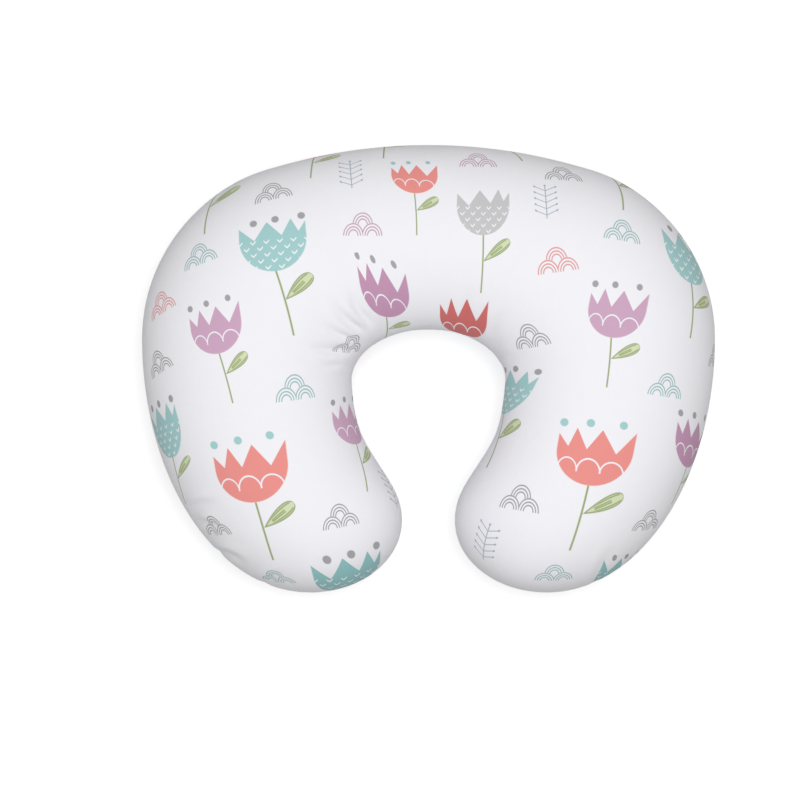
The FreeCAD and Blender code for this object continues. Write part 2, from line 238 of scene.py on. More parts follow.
def grid_faces(rows, columns, closed):
    """Quads of a grid, with its columns joined into a ring where closed."""
    i, j = np.meshgrid(np.arange(rows - 1), np.arange(columns if closed else columns - 1), indexing="ij")
    after = (j + 1) % columns
    row, below = i * columns, (i + 1) * columns
    return np.stack([row + j, row + after, below + after, below + j], -1).reshape(-1, 4)


def mesh_object(name, points, faces):
    """A new object from points and faces, shaded smooth."""
    mesh = bpy.data.meshes.new(name)
    mesh.from_pydata(np.asarray(points, float).tolist(), [], [list(map(int, face)) for face in faces])
    mesh.validate()
    mesh.polygons.foreach_set("use_smooth", [True] * len(mesh.polygons))
    piece = bpy.data.objects.new(name, mesh)
    bpy.context.scene.collection.objects.link(piece)
    return piece


def distance_along(path):
    """Distance of each point of a path from its first."""
    return np.r_[0, np.cumsum(np.linalg.norm(np.diff(path, axis=0), axis=1))]


def points_along(path, run, at):
    """Points of a path, whose distances are run, at other distances."""
    return np.stack([np.interp(at, run, path[:, k]) for k in range(3)], 1)


def resampled(path, step):
    """Points at even steps along a path, and their distances along it."""
    run = distance_along(path)
    even = np.arange(0, run[-1], step)
    return points_along(path, run, even), even


def ring_mesh(points):
    """Vertices and faces of a grid of closed rings, whose first and last rows are single points."""
    rows, rings = points.shape[:2]
    vertices = np.concatenate([points[0, :1], points[1:-1].reshape(-1, 3), points[-1, :1]])
    faces = (grid_faces(rows - 2, rings, True) + 1).tolist()
    last = 1 + (rows - 3) * rings
    for k in range(rings):
        after = (k + 1) % rings
        faces.append([0, 1 + after, 1 + k])
        faces.append([len(vertices) - 1, last + k, last + after])
    return vertices, faces


def simulated_offsets(shares, angles):
    """How far pressure moves the stuffed cover from its design shape, on the coarse grid."""
    rest = body_points(shares, angles)
    rows, rings = rest.shape[:2]
    ring_points = rest[1:-1].reshape(-1, 3)
    tips = [rest[0, 0], rest[-1, 0]]
    count = len(ring_points)
    faces = [list(face) for face in grid_faces(rows - 2, rings, True)]
    for j in range(rings):
        after = (j + 1) % rings
        faces.append([count, after, j])
        last = count - rings
        faces.append([count + 1, last + j, last + after])
    points = np.vstack([ring_points, tips])
    piece = mesh_object("cover_sim", points, faces)
    held = np.clip(1.2 - points[:, 2] / RESTING, 0, 1)
    held = np.maximum(held, near_zip(points))
    group = piece.vertex_groups.new(name="held")
    for index in np.nonzero(held > 0.01)[0]:
        group.add([int(index)], float(held[index]), "REPLACE")
    cloth = piece.modifiers.new("cloth", "CLOTH")
    settings = cloth.settings
    for name, value in CLOTH.items():
        setattr(settings, name, value)
    settings.use_pressure = True
    settings.vertex_group_mass = "held"
    settings.effector_weights.gravity = 0
    cloth.collision_settings.use_collision = False
    scene = bpy.context.scene
    for step in range(1, SIM_FRAMES + 1):
        scene.frame_set(step)
    graph = bpy.context.evaluated_depsgraph_get()
    made = piece.evaluated_get(graph).to_mesh()
    moved = np.zeros(len(points) * 3)
    made.vertices.foreach_get("co", moved)
    piece.evaluated_get(graph).to_mesh_clear()
    scene.frame_set(1)
    bpy.data.objects.remove(piece)
    offsets = moved.reshape(-1, 3) - points
    return np.concatenate([
        np.repeat(offsets[None, -2:-1], rings, 1), offsets[:-2].reshape(rows - 2, rings, 3),
        np.repeat(offsets[None, -1:], rings, 1),
    ])


def softened(field, passes):
    """The field after so many 1-2-1 averages along the stations and round the rings."""
    for _ in range(passes):
        wide = np.concatenate([field[:1], field, field[-1:]])
        field = (wide[:-2] + 2 * field + wide[2:]) / 4
        field = (np.roll(field, 1, 1) + 2 * field + np.roll(field, -1, 1)) / 4
    return field


def doubled(field):
    """The field on a grid twice as fine, by the four-point rule."""
    wide = np.concatenate([field[:1], field, field[-1:]])
    between = (9 * (wide[1:-2] + wide[2:-1]) - wide[:-3] - wide[3:]) / 16
    rows = np.empty((2 * len(field) - 1, field.shape[1]))
    rows[::2] = field
    rows[1::2] = between
    around = (9 * (rows + np.roll(rows, -1, 1)) - np.roll(rows, 1, 1) - np.roll(rows, -2, 1)) / 16
    fine = np.empty((len(rows), 2 * rows.shape[1]))
    fine[:, ::2] = rows
    fine[:, 1::2] = around
    return fine


def grid_normals(points):
    """Outward unit normals of a grid that runs from the left tip to the right, outer edge first."""
    normals = np.cross(np.gradient(points, axis=1), np.gradient(points, axis=0))
    normals[0] = normals[1].sum(0)
    normals[-1] = normals[-2].sum(0)
    return unit(normals)


def wrinkles():
    """Height of the simulated cover's wrinkles over the design shape, on the fine grid."""
    shares = station_shares(COARSE_STATIONS)
    over, under = ring_angles(TOP_RINGS, BOTTOM_RINGS)
    angles = np.r_[over[:-1], under[:-1]]
    rest = body_points(shares, angles)
    normals = grid_normals(np.concatenate([rest[:, -1:], rest, rest[:, :1]], 1))[:, 1:-1]
    height = (simulated_offsets(shares, angles) * normals).sum(-1)
    height = softened(height, FINE_PASSES)
    height = height - softened(height, SHAPE_PASSES)
    height *= CALM_SHARE + (1 - CALM_SHARE) * ramp(angles, *CALM_ANGLES)
    height *= ramp(rest[..., 2], *WRINKLE_CALM)
    return doubled(SIM_CAP * np.tanh(height / SIM_CAP))


# ---------------------------------------------------------------- shape of the cover

SLOT_HALF = 6.5 * MM
SLOT_TAPER = 0.8  # degrees over which the slot closes at its ends
GROOVE_DEPTH = 1.7 * MM
GROOVE_WIDTH = 3.6 * MM
PUCKER_HEIGHT = 0.45 * MM
PUCKER_WIDTH = 13 * MM
PUCKER_LENGTHS = (11 * MM, 47 * MM)
FOLD_BOW = 0.08  # how far a fold bows sideways, as a share of its length
FOLD_RISE = (-0.25, 0.15)  # where a fold sets in, in fold lengths
FOLD_FALL = (0.35, 1.15)  # where it dies away
FOLD_SHARPNESS = 1.6
FOLD_RIDGE = (0.55, 1.5)  # height of the ridge beside it, in fold depths, and its distance, in fold widths
COVER_CALM = (0.5 * MM, 6 * MM)  # heights between which the resting underside gains its relief
TIP_CALM = (6 * MM, 40 * MM)  # widths of a panel between which it gains its relief
LABEL_CLEAR = (28 * MM, 46 * MM)  # distances from the care label's middle

# Folds in the top panel: start and end in plan, depth and width, in design millimetres
FOLDS = [
    ((-54, 42), (-72, 74), 3.2, 4.4),
    ((-61, 35), (-86, 59), 3.6, 4.8),
    ((-68, 27), (-94, 40), 2.4, 3.8),
    ((-73, 17), (-108, 21), 3.2, 5.2),
    ((-80, 4), (-98, 5), 1.5, 3.8),
    ((32, 46), (37, 72), 1.2, 4.0),
    ((56, 32), (68, 54), 1.4, 4.0),
    ((72, 8), (94, 20), 1.0, 4.5),
    ((-190, -165), (-164, -176), 2.2, 4.0),
    ((-214, -124), (-190, -120), 2.0, 4.0),
    ((-207, -138), (-184, -146), 1.8, 4.0),
    ((-150, -194), (-128, -184), 1.2, 5.0),
    ((150, -192), (168, -158), 1.0, 5.0),
]


def slot_share(shares):
    """1 where the zip's slot is open, falling to 0 at its ends, for each station's outer edge."""
    t = np.abs(shares)
    turn = np.abs(arc_angle(outline_at(t * TIP_LENGTH)))
    opening = np.clip((ZIP_HALF_ANGLE - turn) / SLOT_TAPER, 0, 1)
    return np.sqrt(opening) * (t * TIP_LENGTH < OUTLINE_LENGTHS[-1] / 3)


def panel_angles(shares, top):
    """Section angles of a panel for each station, with the outer edge drawn back along the zip's slot."""
    over, under = ring_angles(2 * TOP_RINGS, 2 * BOTTOM_RINGS)
    _, _, _, half_height, height = sections(shares)
    lift = SLOT_HALF * slot_share(shares) * (1 if top else -1)
    edge = np.arcsin(np.clip((SEAM_Z + lift - height) / np.maximum(half_height, 1e-6), -1, 1))
    edge = np.where(lift == 0, SEAM_ANGLE, edge)[:, None]
    if top:
        return edge + (over - over[0]) / (over[-1] - over[0]) * (pi - SEAM_ANGLE - edge)
    return under[0] + (under - under[0]) / (under[-1] - under[0]) * (edge + 2 * pi - under[0])


def edge_lengths(points):
    """Distance of each grid point from its first and from its last column, along the rows."""
    steps = np.linalg.norm(np.diff(points, axis=1), axis=-1)
    run = np.concatenate([np.zeros((len(points), 1)), np.cumsum(steps, 1)], 1)
    return run, run[:, -1:] - run


def seam_relief(distance, edge_points, still):
    """Groove and puckers beside a sewn edge; still is 1 where the zip keeps the edge flat."""
    along = distance_along(edge_points)[:, None]
    short, long = PUCKER_LENGTHS
    # the spacing and the strength of the puckers wander slowly along the seam
    wave = np.sin(2 * pi * along / short + 1.7 * np.sin(2 * pi * along / long))
    strength = 0.6 + 0.4 * np.sin(2 * pi * along / (3.7 * long) + 1)
    groove = -GROOVE_DEPTH * np.exp(-distance / GROOVE_WIDTH)
    pucker = PUCKER_HEIGHT * strength * wave * np.exp(-distance / PUCKER_WIDTH)
    pucker = pucker * ramp(distance, 0, GROOVE_WIDTH)
    return (groove + pucker) * (1 - still)[:, None]


def fold_relief(points):
    """Creases with a soft ridge beside them, radiating from the opening as in the photo."""
    relief = np.zeros(points.shape[:2])
    for start, end, depth, width in FOLDS:
        start, end = np.array(start) * MM, np.array(end) * MM
        run = end - start
        length = np.linalg.norm(run)
        run = run / length
        away = points[..., :2] - start
        along = away @ run / length
        bow = FOLD_BOW * length * np.sin(pi * np.clip(along, 0, 1))
        off = (away @ np.array([-run[1], run[0]]) - bow) / (width * MM)
        ends = ramp(along, *FOLD_RISE) * (1 - ramp(along, *FOLD_FALL))
        ridge = FOLD_RIDGE[0] * np.exp(-(off - FOLD_RIDGE[1]) ** 2)
        relief += depth * MM * ends * (ridge - np.exp(-off ** 2 * FOLD_SHARPNESS))
    return relief


def off_label(points):
    """0 where the care label folds against the cover, rising to 1 away from it."""
    low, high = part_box("care_label")
    middle = np.array([low.x, (low.y + high.y) / 2, (low.z + high.z) / 2])
    return ramp(np.linalg.norm(points - middle, axis=-1), *LABEL_CLEAR)


def cover_grid(top, wrinkle):
    """Outer points and normals of a cover panel on the fine grid."""
    shares = station_shares(2 * COARSE_STATIONS)
    points = body_points(shares, panel_angles(shares, top))
    normals = grid_normals(points)
    columns = 2 * TOP_RINGS
    relief = wrinkle[:, :columns + 1] if top else np.concatenate([wrinkle[:, columns:], wrinkle[:, :1]], 1)
    first, last = edge_lengths(points)
    slot = np.minimum(1, slot_share(shares) * 2)
    relief = relief + seam_relief(first, points[:, 0], slot * top)
    relief = relief + seam_relief(last, points[:, -1], slot * (not top))
    if top:
        relief = relief + fold_relief(points)
    relief = relief * narrow_calm(points) * ramp(points[..., 2], *COVER_CALM)
    relief = np.minimum(relief, 0) + np.maximum(relief, 0) * off_label(points)
    points = points + normals * relief[..., None]
    return points, grid_normals(points)


def narrow_calm(points):
    """0 where a panel narrows to its tips, rising to 1."""
    width = np.linalg.norm(points[:, 0] - points[:, -1], axis=1)[:, None]
    return ramp(width, *TIP_CALM)


def two_skinned(name, skins, faces, border):
    """Closed object from two skins of points, the faces of the first, and the points round its border."""
    count = len(skins[0])
    walls = [[b, a, a + count, b + count] for a, b in zip(border, border[1:] + border[:1])]
    under = [[corner + count for corner in face[::-1]] for face in faces]
    return mesh_object(name, np.vstack(skins), faces + under + walls)


def shell(name, points, normals, thickness):
    """Closed shell under a grid whose first and last rows are single points; outer quads come first."""
    rows, columns = points.shape[:2]
    inner = points - normals * thickness
    skins = [
        np.concatenate([skin[0, :1], skin[1:-1].reshape(-1, 3), skin[-1, :1]]) for skin in (points, inner)
    ]
    count = len(skins[0])
    quads = grid_faces(rows - 2, columns, False) + 1
    steps = np.arange(columns - 1)
    last = 1 + (rows - 3) * columns
    caps = np.r_[
        np.c_[np.zeros(columns - 1, int), steps + 2, steps + 1],
        np.c_[np.full(columns - 1, count - 1), last + steps, last + steps + 1],
    ]
    edges = 1 + np.arange(rows - 2) * columns
    border = [0, *(edges + columns - 1).tolist(), count - 1, *edges[::-1].tolist()]
    return two_skinned(name, skins, quads.tolist() + caps.tolist(), border)


# ---------------------------------------------------------------- layout of the print

ARCHED, TICKED, HILLS, SPRIG = range(1, 5)  # kinds of figure; 0 is bare cloth

INKS = {
    "coral": (0.82, 0.285, 0.26),
    # darker copy of coral with painted shade, for a head that runs down into the opening
    "red": (0.64, 0.155, 0.145),
    "lilac": (0.60, 0.375, 0.52),
    # darker copy of lilac with painted shade
    "deep lilac": (0.53, 0.29, 0.44),
    "teal": (0.36, 0.60, 0.60),
    # darker copy of teal with painted shade, for heads where the arms' ends turn down
    "deep teal": (0.27, 0.52, 0.53),
    "grey": (0.56, 0.56, 0.57),
    "slate": (0.37, 0.37, 0.39),
    "hill grey": (0.33, 0.33, 0.35),
    "hill teal": (0.30, 0.49, 0.50),
    "hill coral": (0.74, 0.29, 0.29),
    "hill pink": (0.55, 0.34, 0.42),
    "blue grey": (0.40, 0.44, 0.52),
    "cloth": (0.87, 0.865, 0.90),
}
# For each ink of a tulip: its kind and the ink of its dots
TULIP_INKS = {
    # the darker copies of coral, lilac and teal carry painted shade
    "coral": (ARCHED, "teal"), "red": (ARCHED, "cloth"), "lilac": (ARCHED, "slate"),
    "deep lilac": (ARCHED, "slate"), "teal": (TICKED, "slate"), "deep teal": (TICKED, "slate"),
    "grey": (TICKED, "cloth"),
}
HEAD_HEIGHT = 0.82  # of a tulip's head, in head widths
FAR = 1e3  # square metres; keeps points that face down from being the nearest
STEEP = 0.1  # least upward part of a normal when a direction seen from above is laid on the cloth
OTHER_SIDE = -0.3  # normals that agree less than this are on opposite sides of the pillow
STEM_LENGTH = {ARCHED: 0.86, TICKED: 1.05}
STEM_SHOWN = 25 * MM  # a shorter stretch of stem is cut off by the edge, so its figure isn't fitted to it
FIGURE_REACH = 1.5  # how far a figure goes from its centre at most, in head widths
SMALL_WIDTH = 35 * MM  # of scattered hills, and a sprig's height
TULIP_GAP = 78 * MM
SMALL_GAP = 42 * MM
TULIP_TRIES = 700
SMALL_TRIES = 900
SPRIG_SHARE = 0.2
SCATTER_WIDTHS = (46, 62)  # of scattered tulips' heads, in design millimetres
SCATTER_LEAN = 14  # degrees
SCATTER_MARGIN = 0.2  # how clear a figure stays of another's spots, in head widths
FACE_MARGIN = 0.06  # how far outside a figure's boxes a face still carries it, in head widths
HILLS_MIDDLE = 0.28  # height of the middle, in widths
SPRIG_MIDDLE = 0.5
UNSEEN = -0.12  # upward part of the normal below which the photo shows nothing of the top panel
PRINT_SEED = 11

# Top panel, in plan, design millimetres: ink, top of the head, head end of the stem, foot, head width,
# and the turn of the head's level line in degrees. Without a foot, the head runs over the edge.
TULIPS = [
    ("teal", (-140, 133), (-136, 87), (-120, 29), 61, 5),
    ("lilac", (-196, 55), (-186, 13), (-174, -31), 46, 13),
    # this lilac is darkened with painted shade
    ("deep lilac", (-48, 93), (-38, 46), (-38, 32), 46, -5),
    ("coral", (-17, 183), (-13, 156), (-11, 118), 40, -3),
    ("grey", (49, 161), (48, 119), (46, 67), 47, 0),
    # this coral is darkened with painted shade where the cloth turns down into the opening
    ("red", (28, 64), (28, 11), None, 42, -2),
    ("lilac", (166, 71), (161, 27), (157, -17), 50, -6),
    ("teal", (226, 123), (235, 77), (233, 27), 59, -23),
    ("teal", (76, 1), (68, -40), (52, -89), 68, -2),
    ("coral", (-167, -67), (-154, -119), (-139, -171), 64, 8),
    ("teal", (-244, -31), (-230, -79), (-219, -122), 48, 18),
    ("lilac", (-75, -30), (-65, -68), (-55, -110), 52, 9),
    ("coral", (145, -52), (141, -104), (125, -162), 66, -6),
    # this lilac is darkened with painted shade at the right edge
    ("deep lilac", (239, -45), (232, -89), (219, -122), 55, -15),
    # these teals are darkened with painted shade where the arms' ends turn down
    ("deep teal", (-73, -165), (-59, -224), None, 70, 9),
    ("deep teal", (177, -168), (163, -208), None, 52, 1),
]
# Tulips that stand over the back edge: ink, foot, where the stem points as seen from above, head width
OVER_THE_BACK = [
    ("teal", (-204, 121), (0.03, 1), 57),
    ("coral", (-108, 172), (0.03, 1), 48),
    ("coral", (-43, 189), (0, 1), 50),
    ("lilac", (85, 187), (-0.8, 1), 50),
    ("teal", (176, 141), (-0.08, 1), 60),
]
# Hills: ink, middle, turn in degrees, width
HILL_PLACES = [
    ("hill grey", (-140, 158), 14, 34), ("hill pink", (-59, 127), 0, 34),
    ("hill teal", (-205, 101), 22, 34), ("hill coral", (-240, 58), 34, 34),
    ("hill grey", (-242, 5), 32, 33), ("hill teal", (-119, -18), 8, 37),
    ("hill grey", (-70, 21), 2, 33), ("hill grey", (-79, -132), 11, 34),
    ("hill grey", (-191, -141), 4, 33), ("hill teal", (-137, -187), -6, 33),
    ("hill pink", (44, 187), -1, 33), ("hill grey", (120, 175), -4, 34),
    ("hill teal", (172, 122), -10, 34), ("hill coral", (113, 95), 8, 36),
    ("hill grey", (90, 28), 11, 36), ("hill teal", (211, -16), -9, 34),
    ("hill grey", (81, -116), -9, 37), ("hill grey", (197, -137), 2, 34),
    ("hill teal", (112, -184), 2, 34), ("hill grey", (258, 11), 0, 33),
]
# Sprigs: middle, how far the stem leans to the left in degrees, height
SPRIG_PLACES = [((-70, 175), 5, 35), ((104, 149), 3, 35), ((50, -156), -10, 39), ((-34, -108), 25, 38)]


class Surface:
    """Points of a panel, their normals, and the directions towards the outer seam and along the body."""

    def __init__(self, points, normals, top):
        """Directions at each point of a grid whose columns run from the outer seam, on the top panel."""
        self.points, self.normals = points, normals
        shares = station_shares(2 * COARSE_STATIONS)
        self.cross = np.repeat(sections(shares)[1][:, None], points.shape[1], 1)
        self.outward = unit(np.gradient(points, axis=1) * (-1 if top else 1))
        self.along = np.cross(self.outward, normals) * (1 if top else -1)
        self.facing = normals[..., 2] > 0.02

    def at(self, place):
        """Point of the surface seen at a place in plan, and its normal."""
        index = self.nearest(place)
        return on_tangent(place, self.points[index], self.normals[index]), self.normals[index]

    def spot(self, index):
        """Point and normal of an index."""
        return self.points[index], self.normals[index]

    def nearest(self, place):
        """Index of the point nearest to a place: in plan, among those seen from above, for two numbers."""
        place = np.array(place)
        if len(place) == 3:
            gap = ((self.points - place) ** 2).sum(-1)
        else:
            gap = ((self.points[..., :2] - place) ** 2).sum(-1) + FAR * ~self.facing
        return np.unravel_index(gap.argmin(), gap.shape)

    def heading(self, index, plan):
        """A direction given in plan on the flat cloth, as a unit vector on the surface."""
        across, along = self.cross[index], self.along[index]
        side = np.array([across[1], -across[0]])
        return unit((plan @ across) * self.outward[index] + (plan @ side) * along)

    def walk(self, index, heading, distance, step=2 * MM):
        """Index reached by going straight over the surface, and the heading there."""
        place = self.points[index]
        for _ in range(int(distance / step)):
            place = place + heading * step
            index = self.nearest(place)
            normal = self.normals[index]
            place = place - normal * ((place - self.points[index]) @ normal)
            heading = unit(heading - normal * (heading @ normal))
        return index, heading


def on_tangent(place, point, normal):
    """A place in plan, raised to the plane that touches the surface at a point."""
    away = np.array(place) - point[:2]
    return np.array([*place, point[2] - away @ normal[:2] / max(normal[2], STEEP / 2)])


def seen_along(plan, normal):
    """Direction along the cloth that is seen in this plan direction from above."""
    plan = np.array(plan, float)
    return np.array([*plan, -plan @ normal[:2] / max(normal[2], STEEP)])


def upright(normal, turn):
    """Direction up a figure whose level line is seen turned by so many degrees from above."""
    return np.cross(normal, seen_along((cos(radians(turn)), sin(radians(turn))), normal))


class Motif:
    """One printed figure: where its axes start and point, and how large it is."""

    def __init__(self, centre, normal, heading, kind, ink, dots, width):
        """A figure upright along its heading, neither stretched nor leaning."""
        self.centre = centre
        self.normal = normal
        self.up = unit(heading - self.normal * (heading @ self.normal))
        self.right = np.cross(self.up, self.normal)
        self.kind, self.ink, self.dots, self.width = kind, ink, dots, width
        self.start = 0.0
        self.stretch_up = self.stretch_down = 1.0
        self.lean_up = self.lean_down = 0.0

    def place(self, points, normals):
        """Coordinates on the cloth in head widths; an arc's length stands in for the way over it."""
        way = points - self.centre
        turn = np.arccos(np.clip(normals @ self.normal, -1, 1)) / 2
        longer = np.where(turn > 1e-3, turn / np.sin(np.maximum(turn, 1e-3)), 1)
        length = np.linalg.norm(way, axis=-1) * longer
        flat = way - (way @ self.normal)[..., None] * self.normal
        scale = length / self.width / np.maximum(np.linalg.norm(flat, axis=-1), 1e-9)
        u, v = flat @ self.right * scale, flat @ self.up * scale
        u = u - np.where(v > 0, self.lean_up, self.lean_down) * v
        return u, self.start + v * np.where(v > 0, self.stretch_up, self.stretch_down)

    def spots(self):
        """A few points all over the figure."""
        reach = [(0, 0.4)] if self.kind in (HILLS, SPRIG) else [(0, 0.9), (0, 0.1), (0.3, -0.35), (0, -0.8)]
        u, v = np.array([*reach, (-0.45, 0.3), (0.45, 0.3)]).T[..., None]
        return self.centre + self.width * (u * self.right + (v - self.start) * self.up)

    def covers(self, u, v, margin=0.0):
        """Whether the figure may have ink there."""
        if self.kind in (HILLS, SPRIG):
            return (np.abs(u) < 0.6 + margin) & (v > -0.1 - margin) & (v < 1.1 + margin)
        head = (np.abs(u) < 0.66 + margin) & (v > -0.03 - margin) & (v < 1 + margin)
        stem = (np.abs(u) < 0.1 + margin) & (v > -STEM_LENGTH[self.kind] - 0.05 - margin) & (v < 0)
        leaf = (u > 0) & (u < 0.68 + margin) & (v > -0.62 - margin) & (v < 0)
        return head | stem | leaf


def tulip(point, normal, heading, ink, width):
    """A tulip whose stem meets its head at the point."""
    kind, dots = TULIP_INKS[ink]
    return Motif(point, normal, heading, kind, ink, dots, width)


def stand_tulip(surface, ink, top, base, foot, width, turn):
    """A tulip fitted to the places of its head's top and its stem's two ends."""
    top, base = np.array(top) * MM, np.array(base) * MM
    summit = surface.at(top)
    start = summit if foot is None else surface.at(base)
    motif = tulip(*start, upright(start[1], turn), ink, width * MM)
    if foot is None:
        # only the head shows: it is hung from its top, as if the cloth ran straight on to its base
        aside, low = motif.place(on_tangent(base, *summit), summit[1])
        motif.lean_up = motif.lean_down = aside / low
        motif.stretch_down = HEAD_HEIGHT / -low
        motif.start = HEAD_HEIGHT
        return motif
    aside, high = motif.place(*summit)
    motif.lean_up, motif.stretch_up = aside / high, HEAD_HEIGHT / high
    aside, low = motif.place(*surface.at(np.array(foot) * MM))
    motif.lean_down = aside / low
    if width * MM * abs(low) > STEM_SHOWN:
        motif.stretch_down = STEM_LENGTH[motif.kind] / -low
    return motif


def fixed_motifs(surface):
    """The figures seen in the photo."""
    motifs = [stand_tulip(surface, *row) for row in TULIPS]
    for ink, foot, plan, width in OVER_THE_BACK:
        index = surface.nearest(np.array(foot) * MM)
        heading = unit(seen_along(plan, surface.normals[index]))
        index, heading = surface.walk(index, heading, STEM_LENGTH[TULIP_INKS[ink][0]] * width * MM)
        motifs.append(tulip(*surface.spot(index), heading, ink, width * MM))
    for ink, middle, turn, width in HILL_PLACES:
        point, normal = surface.at(np.array(middle) * MM)
        motifs.append(small_motif(point, normal, upright(normal, turn), HILLS, ink, width * MM))
    for middle, lean, height in SPRIG_PLACES:
        point, normal = surface.at(np.array(middle) * MM)
        heading = unit(seen_along((-sin(radians(lean)), cos(radians(lean))), normal))
        motifs.append(small_motif(point, normal, heading, SPRIG, "blue grey", height * MM))
    return motifs


def small_motif(point, normal, heading, kind, ink, width=SMALL_WIDTH):
    """Hills or a sprig about a point."""
    motif = Motif(point, normal, heading, kind, ink, ink, width)
    motif.start = HILLS_MIDDLE if kind == HILLS else SPRIG_MIDDLE
    return motif


def shuffled(places, random):
    """The places in a random order."""
    random.shuffle(places)
    return places


def leaning(surface, place, random):
    """A heading near +Y."""
    turn = radians(random.uniform(-SCATTER_LEAN, SCATTER_LEAN))
    return surface.heading(place, np.array([-sin(turn), cos(turn)]))


def add_if_clear(motifs, new, gap):
    """Adds a figure if it is clear of all the others."""
    if not any(too_near(new, motif, gap) for motif in motifs):
        motifs.append(new)


def scattered_motifs(surface, motifs, allowed, tulips, random):
    """More figures at random where allowed, clear of the ones already there."""
    motifs = list(motifs)
    places = [tuple(place) for place in shuffled(np.argwhere(allowed), random)]
    hills = [ink for ink in INKS if ink.startswith("hill")]
    for place in places[:tulips]:
        # the inks drawn here include the darker copies with painted shade
        ink = str(random.choice(list(TULIP_INKS)))  # a plain string, not NumPy's own kind
        heading = leaning(surface, place, random)
        new = tulip(*surface.spot(place), heading, ink, random.uniform(*SCATTER_WIDTHS) * MM)
        add_if_clear(motifs, new, TULIP_GAP)
    for place in places[:SMALL_TRIES]:
        kind = SPRIG if random.random() < SPRIG_SHARE else HILLS
        ink = "blue grey" if kind == SPRIG else str(random.choice(hills))
        heading = leaning(surface, place, random)
        add_if_clear(motifs, small_motif(*surface.spot(place), heading, kind, ink), SMALL_GAP)
    return motifs


def too_near(new, old, gap):
    """Whether two figures stand closer than the gap, or one reaches over a spot of the other."""
    if new.normal @ old.normal < OTHER_SIDE:
        return False
    if np.linalg.norm(new.centre - old.centre) < gap:
        return True
    pairs = ((new, old), (old, new))
    return any(a.covers(*a.place(b.spots(), b.normal), margin=SCATTER_MARGIN).any() for a, b in pairs)


def write_print(piece, surface, motifs):
    """Gives each outer face the figure that covers it, as corner attributes for the shader."""
    points, normals = surface.points, surface.normals
    rows, columns = points.shape[:2]
    quads = grid_faces(rows, columns, False).reshape(rows - 1, columns - 1, 4)[1:-1].reshape(-1, 4)
    points, normals = points.reshape(-1, 3), normals.reshape(-1, 3)
    middle = points[quads].mean(1)
    facing = unit(normals[quads].mean(1))
    best = np.full(len(quads), np.inf)
    owner = np.full(len(quads), -1)
    for number, motif in enumerate(motifs):
        near = np.flatnonzero(np.linalg.norm(middle - motif.centre, axis=1) < FIGURE_REACH * motif.width)
        near = near[facing[near] @ motif.normal > OTHER_SIDE]
        u, v = motif.place(middle[near], facing[near])
        off = np.abs(u) * motif.width
        if motif.kind in (HILLS, SPRIG):
            off = np.hypot(u, v - 0.4) * motif.width
        better = motif.covers(u, v, margin=FACE_MARGIN) & (off < best[near])
        best[near[better]] = off[better]
        owner[near[better]] = number
    loops = len(piece.data.loops)
    figure = np.zeros((loops, 3))
    ink = np.ones((loops, 4))
    dots = np.ones((loops, 4))
    for number, motif in enumerate(motifs):
        mine = np.flatnonzero(owner == number)
        corners = quads[mine].ravel()
        slots = (mine[:, None] * 4 + np.arange(4)).ravel()
        u, v = motif.place(points[corners], normals[corners])
        figure[slots] = np.stack([u, v, np.full(len(u), motif.kind)], 1)
        ink[slots, :3] = INKS[motif.ink]
        dots[slots, :3] = INKS[motif.dots]
    add_attribute(piece, "figure", "FLOAT_VECTOR", "CORNER", "vector", figure)
    add_attribute(piece, "ink", "FLOAT_COLOR", "CORNER", "color", ink)
    add_attribute(piece, "dots", "FLOAT_COLOR", "CORNER", "color", dots)


def add_attribute(piece, name, kind, domain, field, values):
    """Stores values on the piece's mesh for the shader."""
    layer = piece.data.attributes.new(name, kind, domain)
    layer.data.foreach_set(field, np.asarray(values, float).ravel())


def cloth_places(points):
    """Where each grid point lies on the flat cloth: its section unrolled about the crown."""
    shares = station_shares(2 * COARSE_STATIONS)
    middle, direction = sections(shares)[:2]
    first, last = edge_lengths(points)
    crown = np.abs(points[..., 2] - SEAM_Z).argmax(1)
    from_crown = np.take_along_axis(first, crown[:, None], 1) - first
    sign = 1 if points[len(points) // 2, 0, 1] > points[len(points) // 2, -1, 1] else -1
    return middle[:, None] + direction[:, None] * (sign * from_crown)[..., None]


def add_cloth_places(piece, places):
    """Gives each vertex its place on the flat cloth, which the weave follows."""
    flat = np.zeros((len(piece.data.vertices), 3))
    flat[:, :places.shape[1]] = places
    add_attribute(piece, "cloth", "FLOAT_VECTOR", "POINT", "vector", flat)


# ---------------------------------------------------------------- shader helpers

class Term:
    """A number inside a shader: a socket or a constant, with arithmetic that adds Math nodes."""

    def __init__(self, tree, value):
        """A number in the node tree of a material."""
        self.tree, self.value = tree, value

    def feed(self, socket):
        """Links or sets a node's socket."""
        if isinstance(self.value, bpy.types.NodeSocket):
            self.tree.links.new(self.value, socket)
        else:
            socket.default_value = self.value

    def math(self, operation, *others, clamp=False):
        """A Math node on this number and the others."""
        node = self.tree.nodes.new("ShaderNodeMath")
        node.operation = operation
        node.use_clamp = clamp
        self.feed(node.inputs[0])
        for socket, other in zip(node.inputs[1:], others):
            (other if isinstance(other, Term) else Term(self.tree, other)).feed(socket)
        return Term(self.tree, node.outputs[0])

    def __abs__(self):
        """Its size without its sign."""
        return self.math("ABSOLUTE")

    def least(self, other):
        """The smaller of the two."""
        return self.math("MINIMUM", other)

    def most(self, other):
        """The larger of the two."""
        return self.math("MAXIMUM", other)

    def away_from(self, other):
        """1 minus this mask, times the other."""
        return (self * -1 + 1) * other


def operator(operation):
    """An operator of Term that adds the Math node of that name."""
    return lambda first, second: first.math(operation, second)


for operation, symbol in (("ADD", "add"), ("SUBTRACT", "sub"), ("MULTIPLY", "mul"), ("DIVIDE", "truediv"),
                          ("POWER", "pow")):
    setattr(Term, "__" + symbol + "__", operator(operation))


